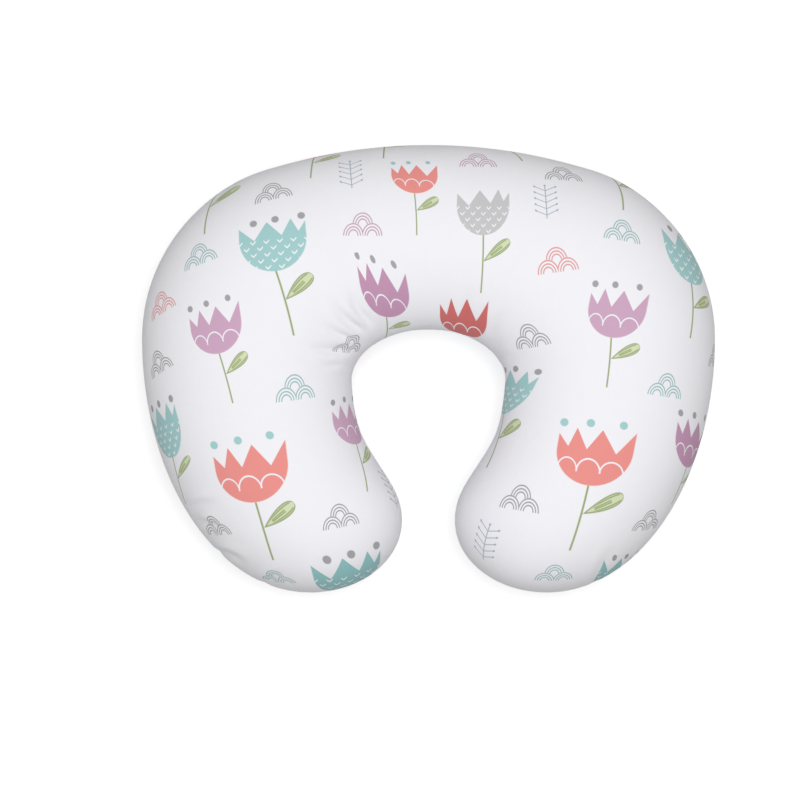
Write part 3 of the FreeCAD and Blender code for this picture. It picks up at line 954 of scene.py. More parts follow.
def inside(distance, soft=0.012):
    """Mask that is 1 where the distance is negative, with a soft edge."""
    return distance.math("MULTIPLY_ADD", -1 / soft, 0.5, clamp=True)


def length_of(x, y):
    """Length of a pair of numbers."""
    return (x * x + y * y).math("SQRT")


def line(distance, half, soft=0.012):
    """Mask of a line of that half width along distance zero."""
    return inside(abs(distance) - half, soft)


def zigzag(u, corners):
    """Height of a zigzag through given corners, flat beyond its ends; u between -0.75 and 0.75."""
    node = u.tree.nodes.new("ShaderNodeFloatCurve")
    curve = node.mapping.curves[0]
    for number, (x, y) in enumerate(corners):
        place = (x / 1.5 + 0.5, y)
        if number < 2:
            curve.points[number].location = place
        else:
            curve.points.new(*place)
    for point in curve.points:
        point.handle_type = "VECTOR"
    node.mapping.update()
    (u * (1 / 1.5) + 0.5).feed(node.inputs["Value"])
    return Term(u.tree, node.outputs[0])


def blank_material(name):
    """A new material with its node tree and its shader."""
    material = bpy.data.materials.new(name)
    material.use_nodes = True
    tree = material.node_tree
    return material, tree, tree.nodes["Principled BSDF"]


def dressed(material, tone, height, depth, below=None, **values):
    """The material, with a linked colour, a bump of so many metres, and plain values or Terms."""
    tree = material.node_tree
    shader = tree.nodes["Principled BSDF"]
    tree.links.new(tone, shader.inputs["Base Color"])
    for name, value in values.items():
        socket = shader.inputs[name.replace("_", " ")]
        if isinstance(value, Term):
            value.feed(socket)
        else:
            socket.default_value = value
    bumped(tree, shader, height, depth, below)
    return material


def attribute(tree, name, output="Vector"):
    """Socket of a mesh attribute."""
    node = tree.nodes.new("ShaderNodeAttribute")
    node.attribute_name = name
    return node.outputs[output]


def parts_of(tree, vector):
    """The three numbers of a vector socket."""
    node = tree.nodes.new("ShaderNodeSeparateXYZ")
    tree.links.new(vector, node.inputs[0])
    return [Term(tree, socket) for socket in node.outputs]


def mixed(tree, share, first, second):
    """Colour between first and second."""
    node = tree.nodes.new("ShaderNodeMix")
    node.data_type = "RGBA"
    share.feed(node.inputs["Factor"])
    for socket, colour in ((node.inputs[6], first), (node.inputs[7], second)):
        if isinstance(colour, bpy.types.NodeSocket):
            tree.links.new(colour, socket)
        else:
            socket.default_value = (*colour, 1)
    return node.outputs[2]


def noise(tree, vector, scale, detail=2.0, roughness=0.5):
    """Noise between 0 and 1; its scale is per metre."""
    node = tree.nodes.new("ShaderNodeTexNoise")
    tree.links.new(vector, node.inputs["Vector"])
    node.inputs["Scale"].default_value = scale
    node.inputs["Detail"].default_value = detail
    node.inputs["Roughness"].default_value = roughness
    return Term(tree, node.outputs[0])


def bumped(tree, shader, height, depth, below=None):
    """Bumps the shader by height times depth in metres, on top of an earlier bump."""
    node = tree.nodes.new("ShaderNodeBump")
    node.inputs["Strength"].default_value = 1.0
    node.inputs["Distance"].default_value = depth
    height.feed(node.inputs["Height"])
    if below:
        tree.links.new(below, node.inputs["Normal"])
    tree.links.new(node.outputs[0], shader.inputs["Normal"])
    return node.outputs[0]


def position(tree):
    """Socket of the place in the room, in metres."""
    return tree.nodes.new("ShaderNodeNewGeometry").outputs["Position"]


# ---------------------------------------------------------------- printed figures in the shader

# Corners of the heads' jagged tops, in head widths
ZIGZAG_ARCHED = [
    (-0.45, 0.71), (-0.31, 0.52), (-0.20, 0.79), (-0.06, 0.50), (0.14, 0.79), (0.34, 0.47), (0.58, 0.76),
]
ZIGZAG_TICKED = [
    (-0.53, 0.72), (-0.28, 0.48), (-0.08, 0.77), (0.13, 0.53), (0.28, 0.79), (0.38, 0.57), (0.50, 0.75),
]
ARCHES = [(-0.31, 0.20, 0.13, 0.165), (-0.02, 0.18, 0.16, 0.19), (0.30, 0.18, 0.165, 0.17)]
DOTS_ARCHED = [(-0.385, 0.85), (-0.03, 0.87), (0.415, 0.88)]
DOTS_TICKED = [(-0.28, 0.77), (0.05, 0.80), (0.44, 0.82)]
DOT_RADIUS = 0.056
STEM_HALF = 0.014
STEM_BOW = 0.06
HILL_SIZE = (0.265, 0.335)  # half width and height of one hill, in widths of the figure
TWIG_REACH = 0.27  # the sprig's twigs, in sprig heights
TWIG_PITCH = 0.18
BUD_RADIUS = 0.03
TICK_CELL = (0.2, 0.1)
LEAF_LINE = (0.32, 0.39, 0.18)
LEAF_FILL = (0.64, 0.71, 0.46)


def cup(u, v, centre, radii, lean, zig):
    """Tulip head: an oval bowl below its middle, straight sides above it, cut off by the zigzag."""
    high = (v - centre[1]).least(0.0) / radii[1]
    across = (u - centre[0] - (v - centre[1]) * lean) / radii[0]
    bowl = inside(length_of(across, high) - 1, 0.03)
    return bowl * inside(v - zig)


def arches(u, v):
    """White scalloped line across an arched tulip."""
    mask = None
    for x, y, wide, high in ARCHES:
        ring = line(length_of((u - x) / wide, (v - y) / high) - 1, 0.065, 0.04)
        ring = ring * v.math("GREATER_THAN", y)
        mask = ring if mask is None else mask.most(ring)
    return mask


def ticks(u, v):
    """Rows of small white ticks, each row shifted by half a cell."""
    wide, high = TICK_CELL
    row = (v / high).math("FLOOR")
    shift = row.math("FLOORED_MODULO", 2.0) * (wide / 2)
    x = (u + shift).math("FLOORED_MODULO", wide) - wide / 2
    y = v.math("FLOORED_MODULO", high) - high / 2
    tick = line(y + 0.025 - abs(x + 0.005), 0.014)
    return tick * inside(abs(x) - 0.042) * inside(v - 0.48)


def dots_of(u, v, places):
    """Mask of round dots."""
    near = None
    for x, y in places:
        far = length_of(u - x, v - y)
        near = far if near is None else near.least(far)
    return inside(near - DOT_RADIUS)


def leaf(u, v, base, angle, reach, width):
    """Outline and fill masks of a drop-shaped leaf with a loop drawn inside it."""
    turn = radians(angle)
    along = (u * cos(turn) + (v - base) * sin(turn)) / reach
    off = abs((v - base) * cos(turn) - u * sin(turn))
    held = along.most(0.0).least(1.0)
    edge = held * ((held * -1 + 1) ** 0.4) * (width / 0.45)
    body = inside(off - edge + 0.012)
    core = inside(off - edge + 0.034)
    loop = line(off - edge * 0.52, 0.010) * inside(abs(along - 0.56) - 0.36)
    vein = line(off - edge * 0.12, 0.009) * inside(abs(along - 0.52) - 0.2)
    ink = core.away_from(body).most(loop.most(vein) * core)
    return ink, core


def stem(u, v, reach):
    """Stem that bows a little and ends at its foot."""
    bow = v * (v + reach) * -STEM_BOW
    return line(u - bow, STEM_HALF) * inside(v) * inside(v * -1 - reach)


def nested_arches(x, y):
    """Distance from a hill's middle, 1 at its rim, and the mask of its three arches."""
    far = length_of(x / HILL_SIZE[0], y / HILL_SIZE[1])
    rings = abs(far - 0.95).least(abs(far - 0.70)).least(abs(far - 0.46))
    return far, inside(rings - 0.05, 0.05)


def hills(u, v):
    """Three hills of nested arches, the upper one behind."""
    front, front_lines = nested_arches(abs(u) - 0.245, v)
    _, back_lines = nested_arches(u, (v - 0.29).most(0.0))
    front_lines = front_lines * v.math("GREATER_THAN", 0.0)
    back_lines = back_lines * front.math("GREATER_THAN", 1.02) * v.math("GREATER_THAN", 0.12)
    return front_lines.most(back_lines)


def sprig(u, v):
    """Stem with rising pairs of twigs, each with a bud."""
    trunk = line(u, 0.013) * inside(v - 0.98) * inside(v * -1)
    rise = v - abs(u) * 0.5
    level = rise.math("FLOORED_MODULO", TWIG_PITCH) - TWIG_PITCH / 2
    branched = inside(rise - 0.86) * inside(rise * -1 + 0.02)
    twigs = line(level, 0.012) * inside(abs(u) - TWIG_REACH) * branched
    buds = inside(length_of(abs(u) - TWIG_REACH, level) - BUD_RADIUS) * branched
    top = inside(length_of(u, v - 0.98) - BUD_RADIUS)
    return trunk.most(twigs).most(buds).most(top)


def printed_colour(tree, cloth):
    """Colour of the printed cloth from its corner attributes."""
    u, v, kind = parts_of(tree, attribute(tree, "figure"))
    arched = kind.math("COMPARE", ARCHED, 0.5)
    ticked = kind.math("COMPARE", TICKED, 0.5)
    head = cup(u, v, (0.06, 0.5), (0.52, 0.5), 0.1, zigzag(u, ZIGZAG_ARCHED)) * arched
    head = arches(u, v).away_from(head)
    other = cup(u, v, (-0.01, 0.5), (0.5, 0.52), 0.0, zigzag(u, ZIGZAG_TICKED)) * ticked
    head = head.most(ticks(u, v).away_from(other))
    drawn = hills(u, v) * kind.math("COMPARE", HILLS, 0.5)
    drawn = drawn.most(sprig(u, v) * kind.math("COMPARE", SPRIG, 0.5))
    spots = dots_of(u, v, DOTS_ARCHED) * arched
    spots = spots.most(dots_of(u, v, DOTS_TICKED) * ticked)
    line_a, fill_a = leaf(u, v, -0.38, 29, 0.60, 0.112)
    line_b, fill_b = leaf(u, v, -0.50, 38, 0.64, 0.115)
    green = line_a.most(stem(u, v, STEM_LENGTH[ARCHED])) * arched
    green = green.most(line_b.most(stem(u, v, STEM_LENGTH[TICKED])) * ticked)
    fill = (fill_a * arched).most(fill_b * ticked)
    colour = mixed(tree, fill, cloth, LEAF_FILL)
    colour = mixed(tree, green, colour, LEAF_LINE)
    colour = mixed(tree, head.most(drawn), colour, attribute(tree, "ink", "Color"))
    return mixed(tree, spots, colour, attribute(tree, "dots", "Color"))


# ---------------------------------------------------------------- materials

COTTON = (0.87, 0.865, 0.90)
YARN = 0.42 * MM


def weave(tree, vector, pitch):
    """Height of a plain weave: warp and weft take turns on top."""
    x, y, _ = parts_of(tree, vector)
    warp = (x * (pi / pitch)).math("SINE")
    weft = (y * (pi / pitch)).math("SINE")
    over = warp * weft
    return abs(warp) * (over * 0.5 + 0.5) + abs(weft) * (over * -0.5 + 0.5)


def ribs(distance, pitch):
    """Ribs between 0 and 1, one to each pitch of the distance."""
    return (distance * (2 * pi / pitch)).math("SINE") * 0.5 + 0.5


def cotton_material(name, colour, printed):
    """Plain-woven cotton, a little uneven, printed or not."""
    material, tree, shader = blank_material(name)
    cloth = attribute(tree, "cloth")
    uneven = noise(tree, cloth, 90, 3)
    slub = noise(tree, cloth, 900, 2)
    dark, light = (tuple(c * share for c in colour) for share in (0.985, 1.012))
    tone = mixed(tree, uneven * 0.5 + slub * 0.5, dark, light)
    if printed:
        tone = printed_colour(tree, tone)
    fine = bumped(tree, shader, weave(tree, cloth, YARN), 0.05 * MM)
    return dressed(material, tone, noise(tree, cloth, 160, 3), 0.22 * MM, below=fine,
                   Roughness=0.86, Specular_IOR_Level=0.25, Sheen_Weight=0.12, Sheen_Roughness=0.5)


def thread_material():
    """White sewing thread, with the twist of its plies."""
    material, tree, _ = blank_material("white_thread")
    place = position(tree)
    x, y, z = parts_of(tree, place)
    twist = ribs(x + y + z * 1.4, 0.5 * MM)
    tone = mixed(tree, noise(tree, place, 700, 2), (0.86, 0.85, 0.86), (0.93, 0.92, 0.93))
    return dressed(material, tone, twist, 0.08 * MM, Roughness=0.6, Sheen_Weight=0.2)


def tape_material():
    """Herringbone tape: slanting ribs that change direction from row to row along the zip."""
    material, tree, _ = blank_material("zip_tape_herringbone")
    place = position(tree)
    x, y, z = parts_of(tree, place)
    along = x.math("ARCTAN2", y - ARC_CENTRE_Y) * BACK_RADIUS
    zig = (z * (1 / (2.4 * MM))).math("PINGPONG", 1.0) * (1.2 * MM)
    rib = ribs(along + zig, 0.7 * MM)
    tone = mixed(tree, rib, (0.76, 0.76, 0.77), (0.88, 0.88, 0.89))
    height = rib + noise(tree, place, 1500, 2) * 0.4
    return dressed(material, tone, height, 0.1 * MM, Roughness=0.75, Sheen_Weight=0.15)


def plastic_material(name, colour, roughness):
    """Moulded polyester with a fine grain."""
    material, tree, _ = blank_material(name)
    place = position(tree)
    grain = noise(tree, place, 1400, 3)
    tone = mixed(tree, grain, tuple(c * 0.96 for c in colour), colour)
    return dressed(material, tone, grain, 0.03 * MM, Roughness=grain * 0.12 + (roughness - 0.06))


def enamel_material():
    """White lacquer on a die-cast slider, thinner and greyer where a hand rubs it."""
    material, tree, _ = blank_material("slider_enamel")
    place = position(tree)
    worn = noise(tree, place, 420, 4, 0.6).math("SUBTRACT", 0.62).math("MULTIPLY", 6.0, clamp=True)
    tone = mixed(tree, worn, (0.84, 0.84, 0.83), (0.66, 0.66, 0.66))
    gloss = noise(tree, place, 900, 2) * 0.15 + 0.26
    return dressed(material, tone, noise(tree, place, 500, 2), 0.05 * MM,
                   Roughness=gloss, Coat_Weight=0.4, Coat_Roughness=0.15)


def ribbon_material(name):
    """Satin ribbon: fine ribs across its width and a soft sheen."""
    material, tree, _ = blank_material(name)
    place = position(tree)
    x, _, z = parts_of(tree, place)
    rib = ribs(z + x * 0.3, 0.34 * MM)
    uneven = rib * 0.6 + noise(tree, place, 1200, 2) * 0.4
    tone = mixed(tree, uneven, (0.88, 0.875, 0.86), (0.94, 0.935, 0.92))
    return dressed(material, tone, rib, 0.03 * MM, Roughness=0.42, Anisotropic=0.5, Sheen_Weight=0.2)


def fibre_material():
    """Loose white stuffing fibre."""
    material, tree, _ = blank_material("polyester_fibre")
    place = position(tree)
    strands = noise(tree, place, 260, 6, 0.75)
    tone = mixed(tree, strands, (0.80, 0.80, 0.80), (0.95, 0.95, 0.95))
    return dressed(material, tone, strands, 0.9 * MM, Roughness=0.95, Sheen_Weight=0.5)


def finish_with(piece, material):
    """Gives the whole piece one material."""
    piece.data.materials.clear()
    piece.data.materials.append(material)
    for place in piece.material_slots:
        place.material = material


# ---------------------------------------------------------------- small pieces: tubes, stitches, zip

TUBE_SIDES = 6
STITCH_POINTS = 7


def tube_mesh(path, radii, around=(0, 0, 1)):
    """Points and faces of a tube along a path; its ring starts at right angles to around."""
    path = np.asarray(path, float)
    radii = np.broadcast_to(radii, len(path))
    ahead = unit(np.gradient(path, axis=0))
    first = unit(np.cross(ahead, np.broadcast_to(around, path.shape)))
    second = np.cross(first, ahead)
    turn = np.arange(TUBE_SIDES) * 2 * pi / TUBE_SIDES
    ring = first[:, None] * np.cos(turn)[:, None] + second[:, None] * np.sin(turn)[:, None]
    points = (path[:, None] + ring * radii[:, None, None]).reshape(-1, 3)
    faces = grid_faces(len(path), TUBE_SIDES, True)[:, ::-1].tolist()
    last = (len(path) - 1) * TUBE_SIDES
    faces.append(list(range(TUBE_SIDES)))
    faces.append([last + k for k in reversed(range(TUBE_SIDES))])
    return points, faces


def joined(name, meshes):
    """One object from several (points, faces)."""
    points, faces, start = [], [], 0
    for part_points, part_faces in meshes:
        points.append(part_points)
        faces += [[corner + start for corner in face] for face in part_faces]
        start += len(part_points)
    return mesh_object(name, np.vstack(points), faces)


def stitches(path, pitch, length, radius, lift):
    """Separate stitches along a path: short bars with rounded ends that dive in at both ends."""
    path = np.asarray(path)
    run = distance_along(path)
    share = np.linspace(-1, 1, STITCH_POINTS)
    meshes = []
    for middle in np.arange(pitch / 2, run[-1] - pitch / 2, pitch):
        points = points_along(path, run, middle + share * length / 2)
        up = points_along(lift, run, [middle])
        points = points + up * (radius * (1 - 1.6 * share ** 4))[:, None]
        meshes.append(tube_mesh(points, radius * np.sqrt(1.02 - share ** 6), up[0]))
    return meshes


COIL_PITCH = 1.35 * MM
COIL_STEPS = 14  # points on each turn of wire
COIL_WIRE = 0.31 * MM
COIL_MIDDLE = -0.1 * MM
COIL_RISE = 0.82 * MM
COIL_REACH = (-0.32 * MM, 2.85 * MM)  # from just over the middle line to the turn's back
COIL_ENDS = (-15.45, 15.0)  # degrees about the back's centre
SLIDER_TURN = 14.2
SPREAD = 1.0 * MM
SEW_LINE = 1.9 * MM


def zip_wall():
    """Radius and downward tilt of the back's wall where the seam runs."""
    _, _, half_width, half_height, height = (float(np.ravel(value)[0]) for value in sections(np.zeros(1)))
    drop = height - SEAM_Z
    share = sqrt(1 - (drop / half_height) ** 2)
    return BACK_RADIUS - half_width * (1 - share), atan2(half_width * drop, half_height ** 2 * share)


WALL_RADIUS, WALL_TILT = zip_wall()


def on_zip(turn, out, up):
    """Points on the zip for turns in degrees, and distances out of the wall and up it."""
    turn = np.radians(turn)
    radius = WALL_RADIUS + out * cos(WALL_TILT) + up * sin(WALL_TILT)
    z = SEAM_Z - out * sin(WALL_TILT) + up * cos(WALL_TILT)
    return np.stack([radius * np.sin(turn), ARC_CENTRE_Y + radius * np.cos(turn), z + 0 * turn], -1)


def coil_spread(turn):
    """How far the chain has opened ahead of the slider's post."""
    return SPREAD * ramp(turn, SLIDER_TURN - 0.1, SLIDER_TURN + 0.55)


def zip_coil(name, side):
    """One flattened spiral of wire; the two sides mesh half a turn apart."""
    turns = radians(COIL_ENDS[1] - COIL_ENDS[0]) * WALL_RADIUS / COIL_PITCH
    phase = np.arange(0, turns, 1 / COIL_STEPS) * 2 * pi
    turn = COIL_ENDS[0] + np.degrees((phase / (2 * pi) * COIL_PITCH) / WALL_RADIUS)
    around = phase + (0 if side > 0 else pi)
    low, high = COIL_REACH
    up = low + (high - low) * (0.5 - 0.5 * np.cos(around)) + coil_spread(turn)
    squared = np.sin(around) * (1.25 - 0.25 * np.sin(around) ** 2)
    path = on_zip(turn, COIL_MIDDLE + COIL_RISE * squared, side * up)
    head = np.exp(-((up - coil_spread(turn) - low) / (0.45 * MM)) ** 2)
    return joined(name, [tube_mesh(path, COIL_WIRE * (1 + 0.25 * head), (1, 0, 0.3))])


def zip_sewing(name):
    """Rows of thread that hold the coils to their tapes."""
    turn = np.arange(COIL_ENDS[0], COIL_ENDS[1], 0.08)
    out = COIL_MIDDLE + COIL_RISE + COIL_WIRE
    meshes = []
    for side in (1, -1):
        path = on_zip(turn, out, side * (SEW_LINE + coil_spread(turn)))
        lift = on_zip(turn, out + MM, side * SEW_LINE) - on_zip(turn, out, side * SEW_LINE)
        meshes += stitches(path, 2 * COIL_PITCH, 1.9 * COIL_PITCH, 0.16 * MM, lift / MM)
    return joined(name, meshes)


TOPSTITCH_OFF = 9.4 * MM  # from the zip's middle to each row of topstitching
STITCH_PITCH = 3.3 * MM
STITCH_LENGTH = 2.7 * MM
STITCH_RADIUS = 0.27 * MM
THREAD_RADIUS = 0.4 * MM
SEAM_PITCH = 2.8 * MM


def zip_topstitch(name, side, panel):
    """Stitches lying on a cover panel beside the slot."""
    points, normals = panel
    edge = points[:, 0 if side > 0 else -1]
    rows = np.flatnonzero((np.abs(arc_angle(edge)) < ZIP_HALF_ANGLE) & (edge[:, 1] > 0))
    order = np.arange(points.shape[1] // 4)
    if side < 0:
        order = points.shape[1] - 1 - order
    level = side * (SEAM_Z + side * TOPSTITCH_OFF)
    path, lift = (
        np.array([
            [np.interp(level, side * points[row, order, 2], field[row, order, k]) for k in range(3)]
            for row in rows
        ])
        for field in (points, normals)
    )
    return joined(name, stitches(path, STITCH_PITCH, STITCH_LENGTH, STITCH_RADIUS, lift))


def seam_thread(name, top, bottom):
    """Thread that shows at the bottom of the groove between the panels, with a dip at each stitch."""
    meshes = []
    opening = slot_share(station_shares(2 * COARSE_STATIONS)) > 0
    outer = (top[0][:, 0] + bottom[0][:, -1]) / 2
    inner = (top[0][:, -1] + bottom[0][:, 0]) / 2
    slot = np.flatnonzero(opening)
    for path in (outer[1:slot[0]], outer[slot[-1] + 1:-1], inner[1:-1]):
        points, run = resampled(path, 0.9 * MM)
        radii = THREAD_RADIUS * (0.8 + 0.35 * np.abs(np.sin(pi * run / SEAM_PITCH)))
        meshes.append(tube_mesh(points, radii))
    return joined(name, meshes)


# ---------------------------------------------------------------- care label

RIBBON = 0.3 * MM
LEAF_ROWS = 24  # of points down each leaf of the folded ribbon
BEND_ROWS = 7
LABEL_COLUMNS = 15
BELLY = 0.5 * MM
CURL = 0.35 * MM


def care_label():
    """Folded ribbon hanging from the seam, its outer leaf bellied a little."""
    low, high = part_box("care_label")
    inner_x, outer_x = low.x + RIBBON / 2, high.x - RIBBON / 2
    radius = (outer_x - inner_x) / 2
    down = np.linspace(high.z, low.z + radius + RIBBON / 2, LEAF_ROWS)
    bend = np.linspace(pi, 2 * pi, BEND_ROWS + 2)[1:-1]
    middle = (inner_x + outer_x) / 2 + radius * np.cos(bend)
    x = np.r_[np.full(LEAF_ROWS, inner_x), middle, np.full(LEAF_ROWS, outer_x)]
    z = np.r_[down, down[-1] + radius * np.sin(bend), down[::-1]]
    share = np.clip((high.z - z) / (high.z - low.z), 0, 1)
    y = np.linspace(low.y, high.y, LABEL_COLUMNS)
    across = (y - (low.y + high.y) / 2) / (high.y - low.y)
    outer = np.r_[np.zeros(LEAF_ROWS + BEND_ROWS), np.ones(LEAF_ROWS)]
    belly = BELLY * outer * np.sin(pi * share)
    curl = CURL * share[:, None] ** 2 * (across[None, :] * 2) ** 2
    points = np.empty((len(x), len(y), 3))
    points[..., 0] = x[:, None] + belly[:, None] + curl
    points[..., 1] = y
    points[..., 2] = z[:, None]
    normals = unit(np.cross(np.gradient(points, axis=1), np.gradient(points, axis=0)))
    rows, columns = points.shape[:2]
    skins = [(points + normals * k * RIBBON / 2).reshape(-1, 3) for k in (1, -1)]
    border = list(range(columns)) + [(r + 1) * columns - 1 for r in range(1, rows)]
    border += [(rows - 1) * columns + k for k in reversed(range(columns - 1))]
    border += [r * columns for r in reversed(range(1, rows - 1))]
    return two_skinned("care_label_ribbon", skins, grid_faces(rows, columns, False).tolist(), border)


# ---------------------------------------------------------------- inside: liner and stuffing

LINER_DEPTH = 3.8 * MM
LINER_THICK = 0.5 * MM
LINER_FLOOR = 1.15 * MM
FILL_DEPTH = 5.2 * MM
FILL_FLOOR = 2.1 * MM
CLOSING_TURN = 6.5  # degrees of the back's arc on each side that are sewn by hand
WHIP_HEIGHT = 1.6 * MM
WHIP_PITCH = 4.5 * MM
LINER_GROOVE = 0.4  # of the cover's groove and puckers
LINER_CALM = (2 * MM, 8 * MM)  # heights between which the resting underside gains its relief
LUMP_DEPTH = 2.2 * MM
FILL_SEED = 5


def liner_panel(name, top):
    """Liner panel with small puckers along its seams."""
    shares = station_shares(COARSE_STATIONS)
    over, under = ring_angles(TOP_RINGS, BOTTOM_RINGS)
    points = body_points(shares, over if top else under, LINER_DEPTH, LINER_FLOOR)
    normals = grid_normals(points)
    first, last = edge_lengths(points)
    still = np.zeros(len(shares))
    relief = seam_relief(first, points[:, 0], still) + seam_relief(last, points[:, -1], still)
    relief = np.minimum(relief, 0) * LINER_GROOVE * ramp(points[..., 2], *LINER_CALM)
    points = points + normals * (relief * narrow_calm(points))[..., None]
    piece = shell(name, points, grid_normals(points), LINER_THICK)
    add_cloth_places(piece, np.array([vertex.co for vertex in piece.data.vertices]))
    return piece


def liner_threads():
    """The liner's seam, and the hand-sewn stretch that closes it after stuffing."""
    shares = station_shares(2 * COARSE_STATIONS)[2:-2]
    seams = (SEAM_ANGLE, pi - SEAM_ANGLE)
    paths = [body_points(shares, np.array([angle]), LINER_DEPTH)[:, 0] for angle in seams]
    turn = arc_angle(paths[0])
    closing = np.flatnonzero((np.abs(turn) < CLOSING_TURN) & (paths[0][:, 1] > 0))
    runs = [paths[0][:closing[0] + 1], paths[0][closing[-1]:], paths[1]]
    seam = joined("liner_seam_thread", [tube_mesh(run, THREAD_RADIUS) for run in runs])
    points, run = resampled(paths[0][closing], 0.5 * MM)
    points[:, 2] += WHIP_HEIGHT * np.sin(2 * pi * run / WHIP_PITCH)
    whip = joined("liner_whip_stitch", [tube_mesh(points, THREAD_RADIUS)])
    return seam, whip


def stuffing():
    """Lumpy fibre body just inside the liner."""
    shares = station_shares(COARSE_STATIONS // 2)
    over, under = ring_angles(TOP_RINGS // 2, BOTTOM_RINGS // 2)
    angles = np.r_[over[:-1], under[:-1]]
    points = body_points(shares, angles, FILL_DEPTH, FILL_FLOOR)
    normals = grid_normals(np.concatenate([points[:, -1:], points, points[:, :1]], 1))[:, 1:-1]
    lumps = softened(np.random.default_rng(FILL_SEED).standard_normal(points.shape[:2]), 3)
    points = points - normals * (np.abs(lumps) * LUMP_DEPTH)[..., None]
    return mesh_object("fibre_stuffing", *ring_mesh(points))


# ---------------------------------------------------------------- studio

CAMERA_PLACE = (-0.0259, -0.0282, 3.0)
FRAME_WIDTH = 0.7272  # seen across the picture at the pillow's widest height
WIDEST_Z = 0.072
SENSOR = 36.0
LIGHTS = [("key", (0.30, 0.22, 2.5), 1.5, 31.0), ("fill", (-0.7, -0.5, 2.4), 2.2, 10.5)]
SKY = 0.42
FLOOR_GLOW = 0.35


def studio():
    """Pale floor, soft lights and an even sky."""
    bpy.ops.mesh.primitive_plane_add(size=14, location=(0, 0, -0.0005))
    floor = bpy.context.object
    floor.name = "studio_floor"
    material, _, shader = blank_material("studio_floor")
    shader.inputs["Base Color"].default_value = (0.90, 0.90, 0.90, 1)
    shader.inputs["Roughness"].default_value = 0.9
    shader.inputs["Specular IOR Level"].default_value = 0.1
    shader.inputs["Emission Color"].default_value = (1, 1, 1, 1)
    shader.inputs["Emission Strength"].default_value = FLOOR_GLOW
    finish_with(floor, material)
    floor.visible_diffuse = False  # the floor shows, but throws no light up at the cloth
    for light in LIGHTS:
        add_light(*light)
    world = bpy.data.worlds.new("studio")
    world.use_nodes = True
    world.node_tree.nodes["Background"].inputs["Color"].default_value = (1, 1, 1, 1)
    world.node_tree.nodes["Background"].inputs["Strength"].default_value = SKY
    bpy.context.scene.world = world
    bpy.context.scene.view_settings.view_transform = "Standard"


def add_light(name, place, size, power):
    """Round soft light that faces the pillow."""
    light = bpy.data.lights.new(name, "AREA")
    light.shape = "DISK"
    light.size = size
    light.energy = power
    lamp = bpy.data.objects.new(name, light)
    lamp.location = place
    lamp.rotation_euler = (-Vector(place)).to_track_quat("-Z", "Y").to_euler()
    bpy.context.scene.collection.objects.link(lamp)


def overhead_camera():
    """Straight down with the back of the pillow upwards, as in the photo."""
    data = bpy.data.cameras.new("camera")
    data.sensor_width = SENSOR
    data.lens = SENSOR * (CAMERA_PLACE[2] - WIDEST_Z) / FRAME_WIDTH
    data.clip_end = 50
    camera = bpy.data.objects.new("camera", data)
    camera.location = CAMERA_PLACE
    bpy.context.scene.collection.objects.link(camera)
    bpy.context.scene.camera = camera


# ---------------------------------------------------------------- build

def keep(piece, material, slot, *nodes, body="root"):
    """Finish a piece, and let it stand for CAD nodes."""
    finish_with(piece, material)
    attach(piece, body)
    if nodes:
        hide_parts(*nodes)


def build_cover(materials):
    """Printed panels and the thread between them."""
    wrinkle = wrinkles()
    random = np.random.default_rng(PRINT_SEED)
    grids = {}
    for name, top in (("top", True), ("bottom", False)):
        points, normals = cover_grid(top, wrinkle)
        grids[top] = (points, normals)
        piece = shell("printed_cover_" + name, points, normals, CLOTH_THICK)
        surface = Surface(points, normals, top)
        if top:
            motifs = scattered_motifs(surface, fixed_motifs(surface), normals[..., 2] < UNSEEN, 0, random)
        else:
            motifs = scattered_motifs(surface, [], normals[..., 2] < 0, TULIP_TRIES, random)
        write_print(piece, surface, motifs)
        spread = cloth_places(points)
        spread = np.concatenate([spread[0, :1], spread[1:-1].reshape(-1, 2), spread[-1, :1]])
        add_cloth_places(piece, np.vstack([spread, spread]))
        keep(piece, materials["print"], "cover_print", "cover_" + name + "_panel")
    keep(seam_thread("cover_seam_thread", grids[True], grids[False]), materials["thread"], "cover_thread",
         "cover_seam_stitching")
    return grids


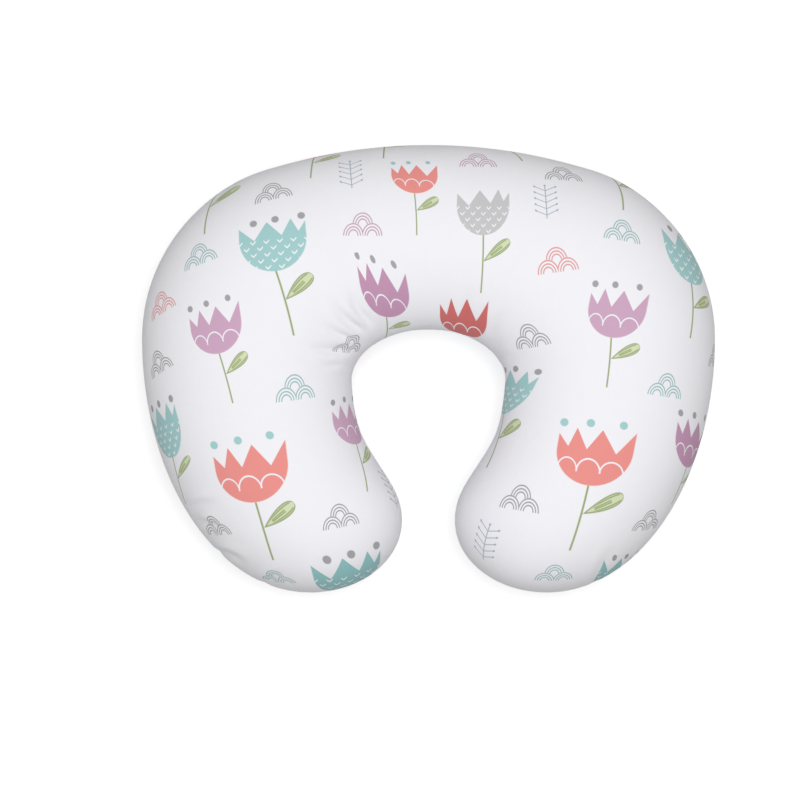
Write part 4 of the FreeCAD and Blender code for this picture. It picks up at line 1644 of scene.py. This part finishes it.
def build_zip(materials, grids):
    """Coils, stitching and finishes of the zip."""
    for name, side in (("upper", 1), ("lower", -1)):
        coil = zip_coil("zip_spiral_" + name, side)
        keep(coil, materials["coil"], "zip_coil", "zip_coil_" + name)
        stitching = zip_topstitch("zip_topstitch_row_" + name, side, grids[side > 0])
        keep(stitching, materials["thread"], "cover_thread", "zip_topstitch_" + name)
        finish_with(frame["nodes"]["zip_tape_" + name], materials["tape"])
    sewing = zip_sewing("zip_coil_sewing")
    keep(sewing, materials["thread"], "cover_thread")
    for node in ("zip_top_stops", "zip_bottom_stop"):
        finish_with(frame["nodes"][node], materials["stop"])
    for node in ("zip_slider_body", "zip_pull_tab"):
        piece = frame["nodes"][node]
        finish_with(piece, materials["enamel"])
        bevel = piece.modifiers.new("soft_edges", "BEVEL")
        bevel.width = 0.14 * MM
        bevel.segments = 2
        bevel.limit_method = "ANGLE"
        bevel.angle_limit = radians(50)


def build_inside(materials):
    """Liner, its threads and the stuffing."""
    for name, top in (("top", True), ("bottom", False)):
        panel = liner_panel("liner_" + name, top)
        keep(panel, materials["liner"], "liner_cloth", "liner_" + name + "_panel")
    seam, whip = liner_threads()
    keep(seam, materials["thread"], "liner_thread", "liner_seam_stitching")
    keep(whip, materials["thread"], "liner_thread", "liner_closing_stitch")
    fill = stuffing()
    keep(fill, materials["fibre"], "fibre_fill", "polyester_fill")
    finish_with(frame["nodes"]["liner_label"], materials["ribbon"])


materials = {
    "print": cotton_material("printed_cotton", COTTON, True),
    "liner": cotton_material("liner_cotton", (0.84, 0.83, 0.80), False),
    "thread": thread_material(),
    "tape": tape_material(),
    "coil": plastic_material("coil_polyester", (0.86, 0.86, 0.87), 0.38),
    "stop": plastic_material("stop_polyester", (0.82, 0.82, 0.83), 0.42),
    "enamel": enamel_material(),
    "ribbon": ribbon_material("satin_ribbon"),
    "fibre": fibre_material(),
}
grids = build_cover(materials)
build_zip(materials, grids)
keep(care_label(), materials["ribbon"], "label_ribbon", "care_label", body="label")
build_inside(materials)
studio()
overhead_camera()
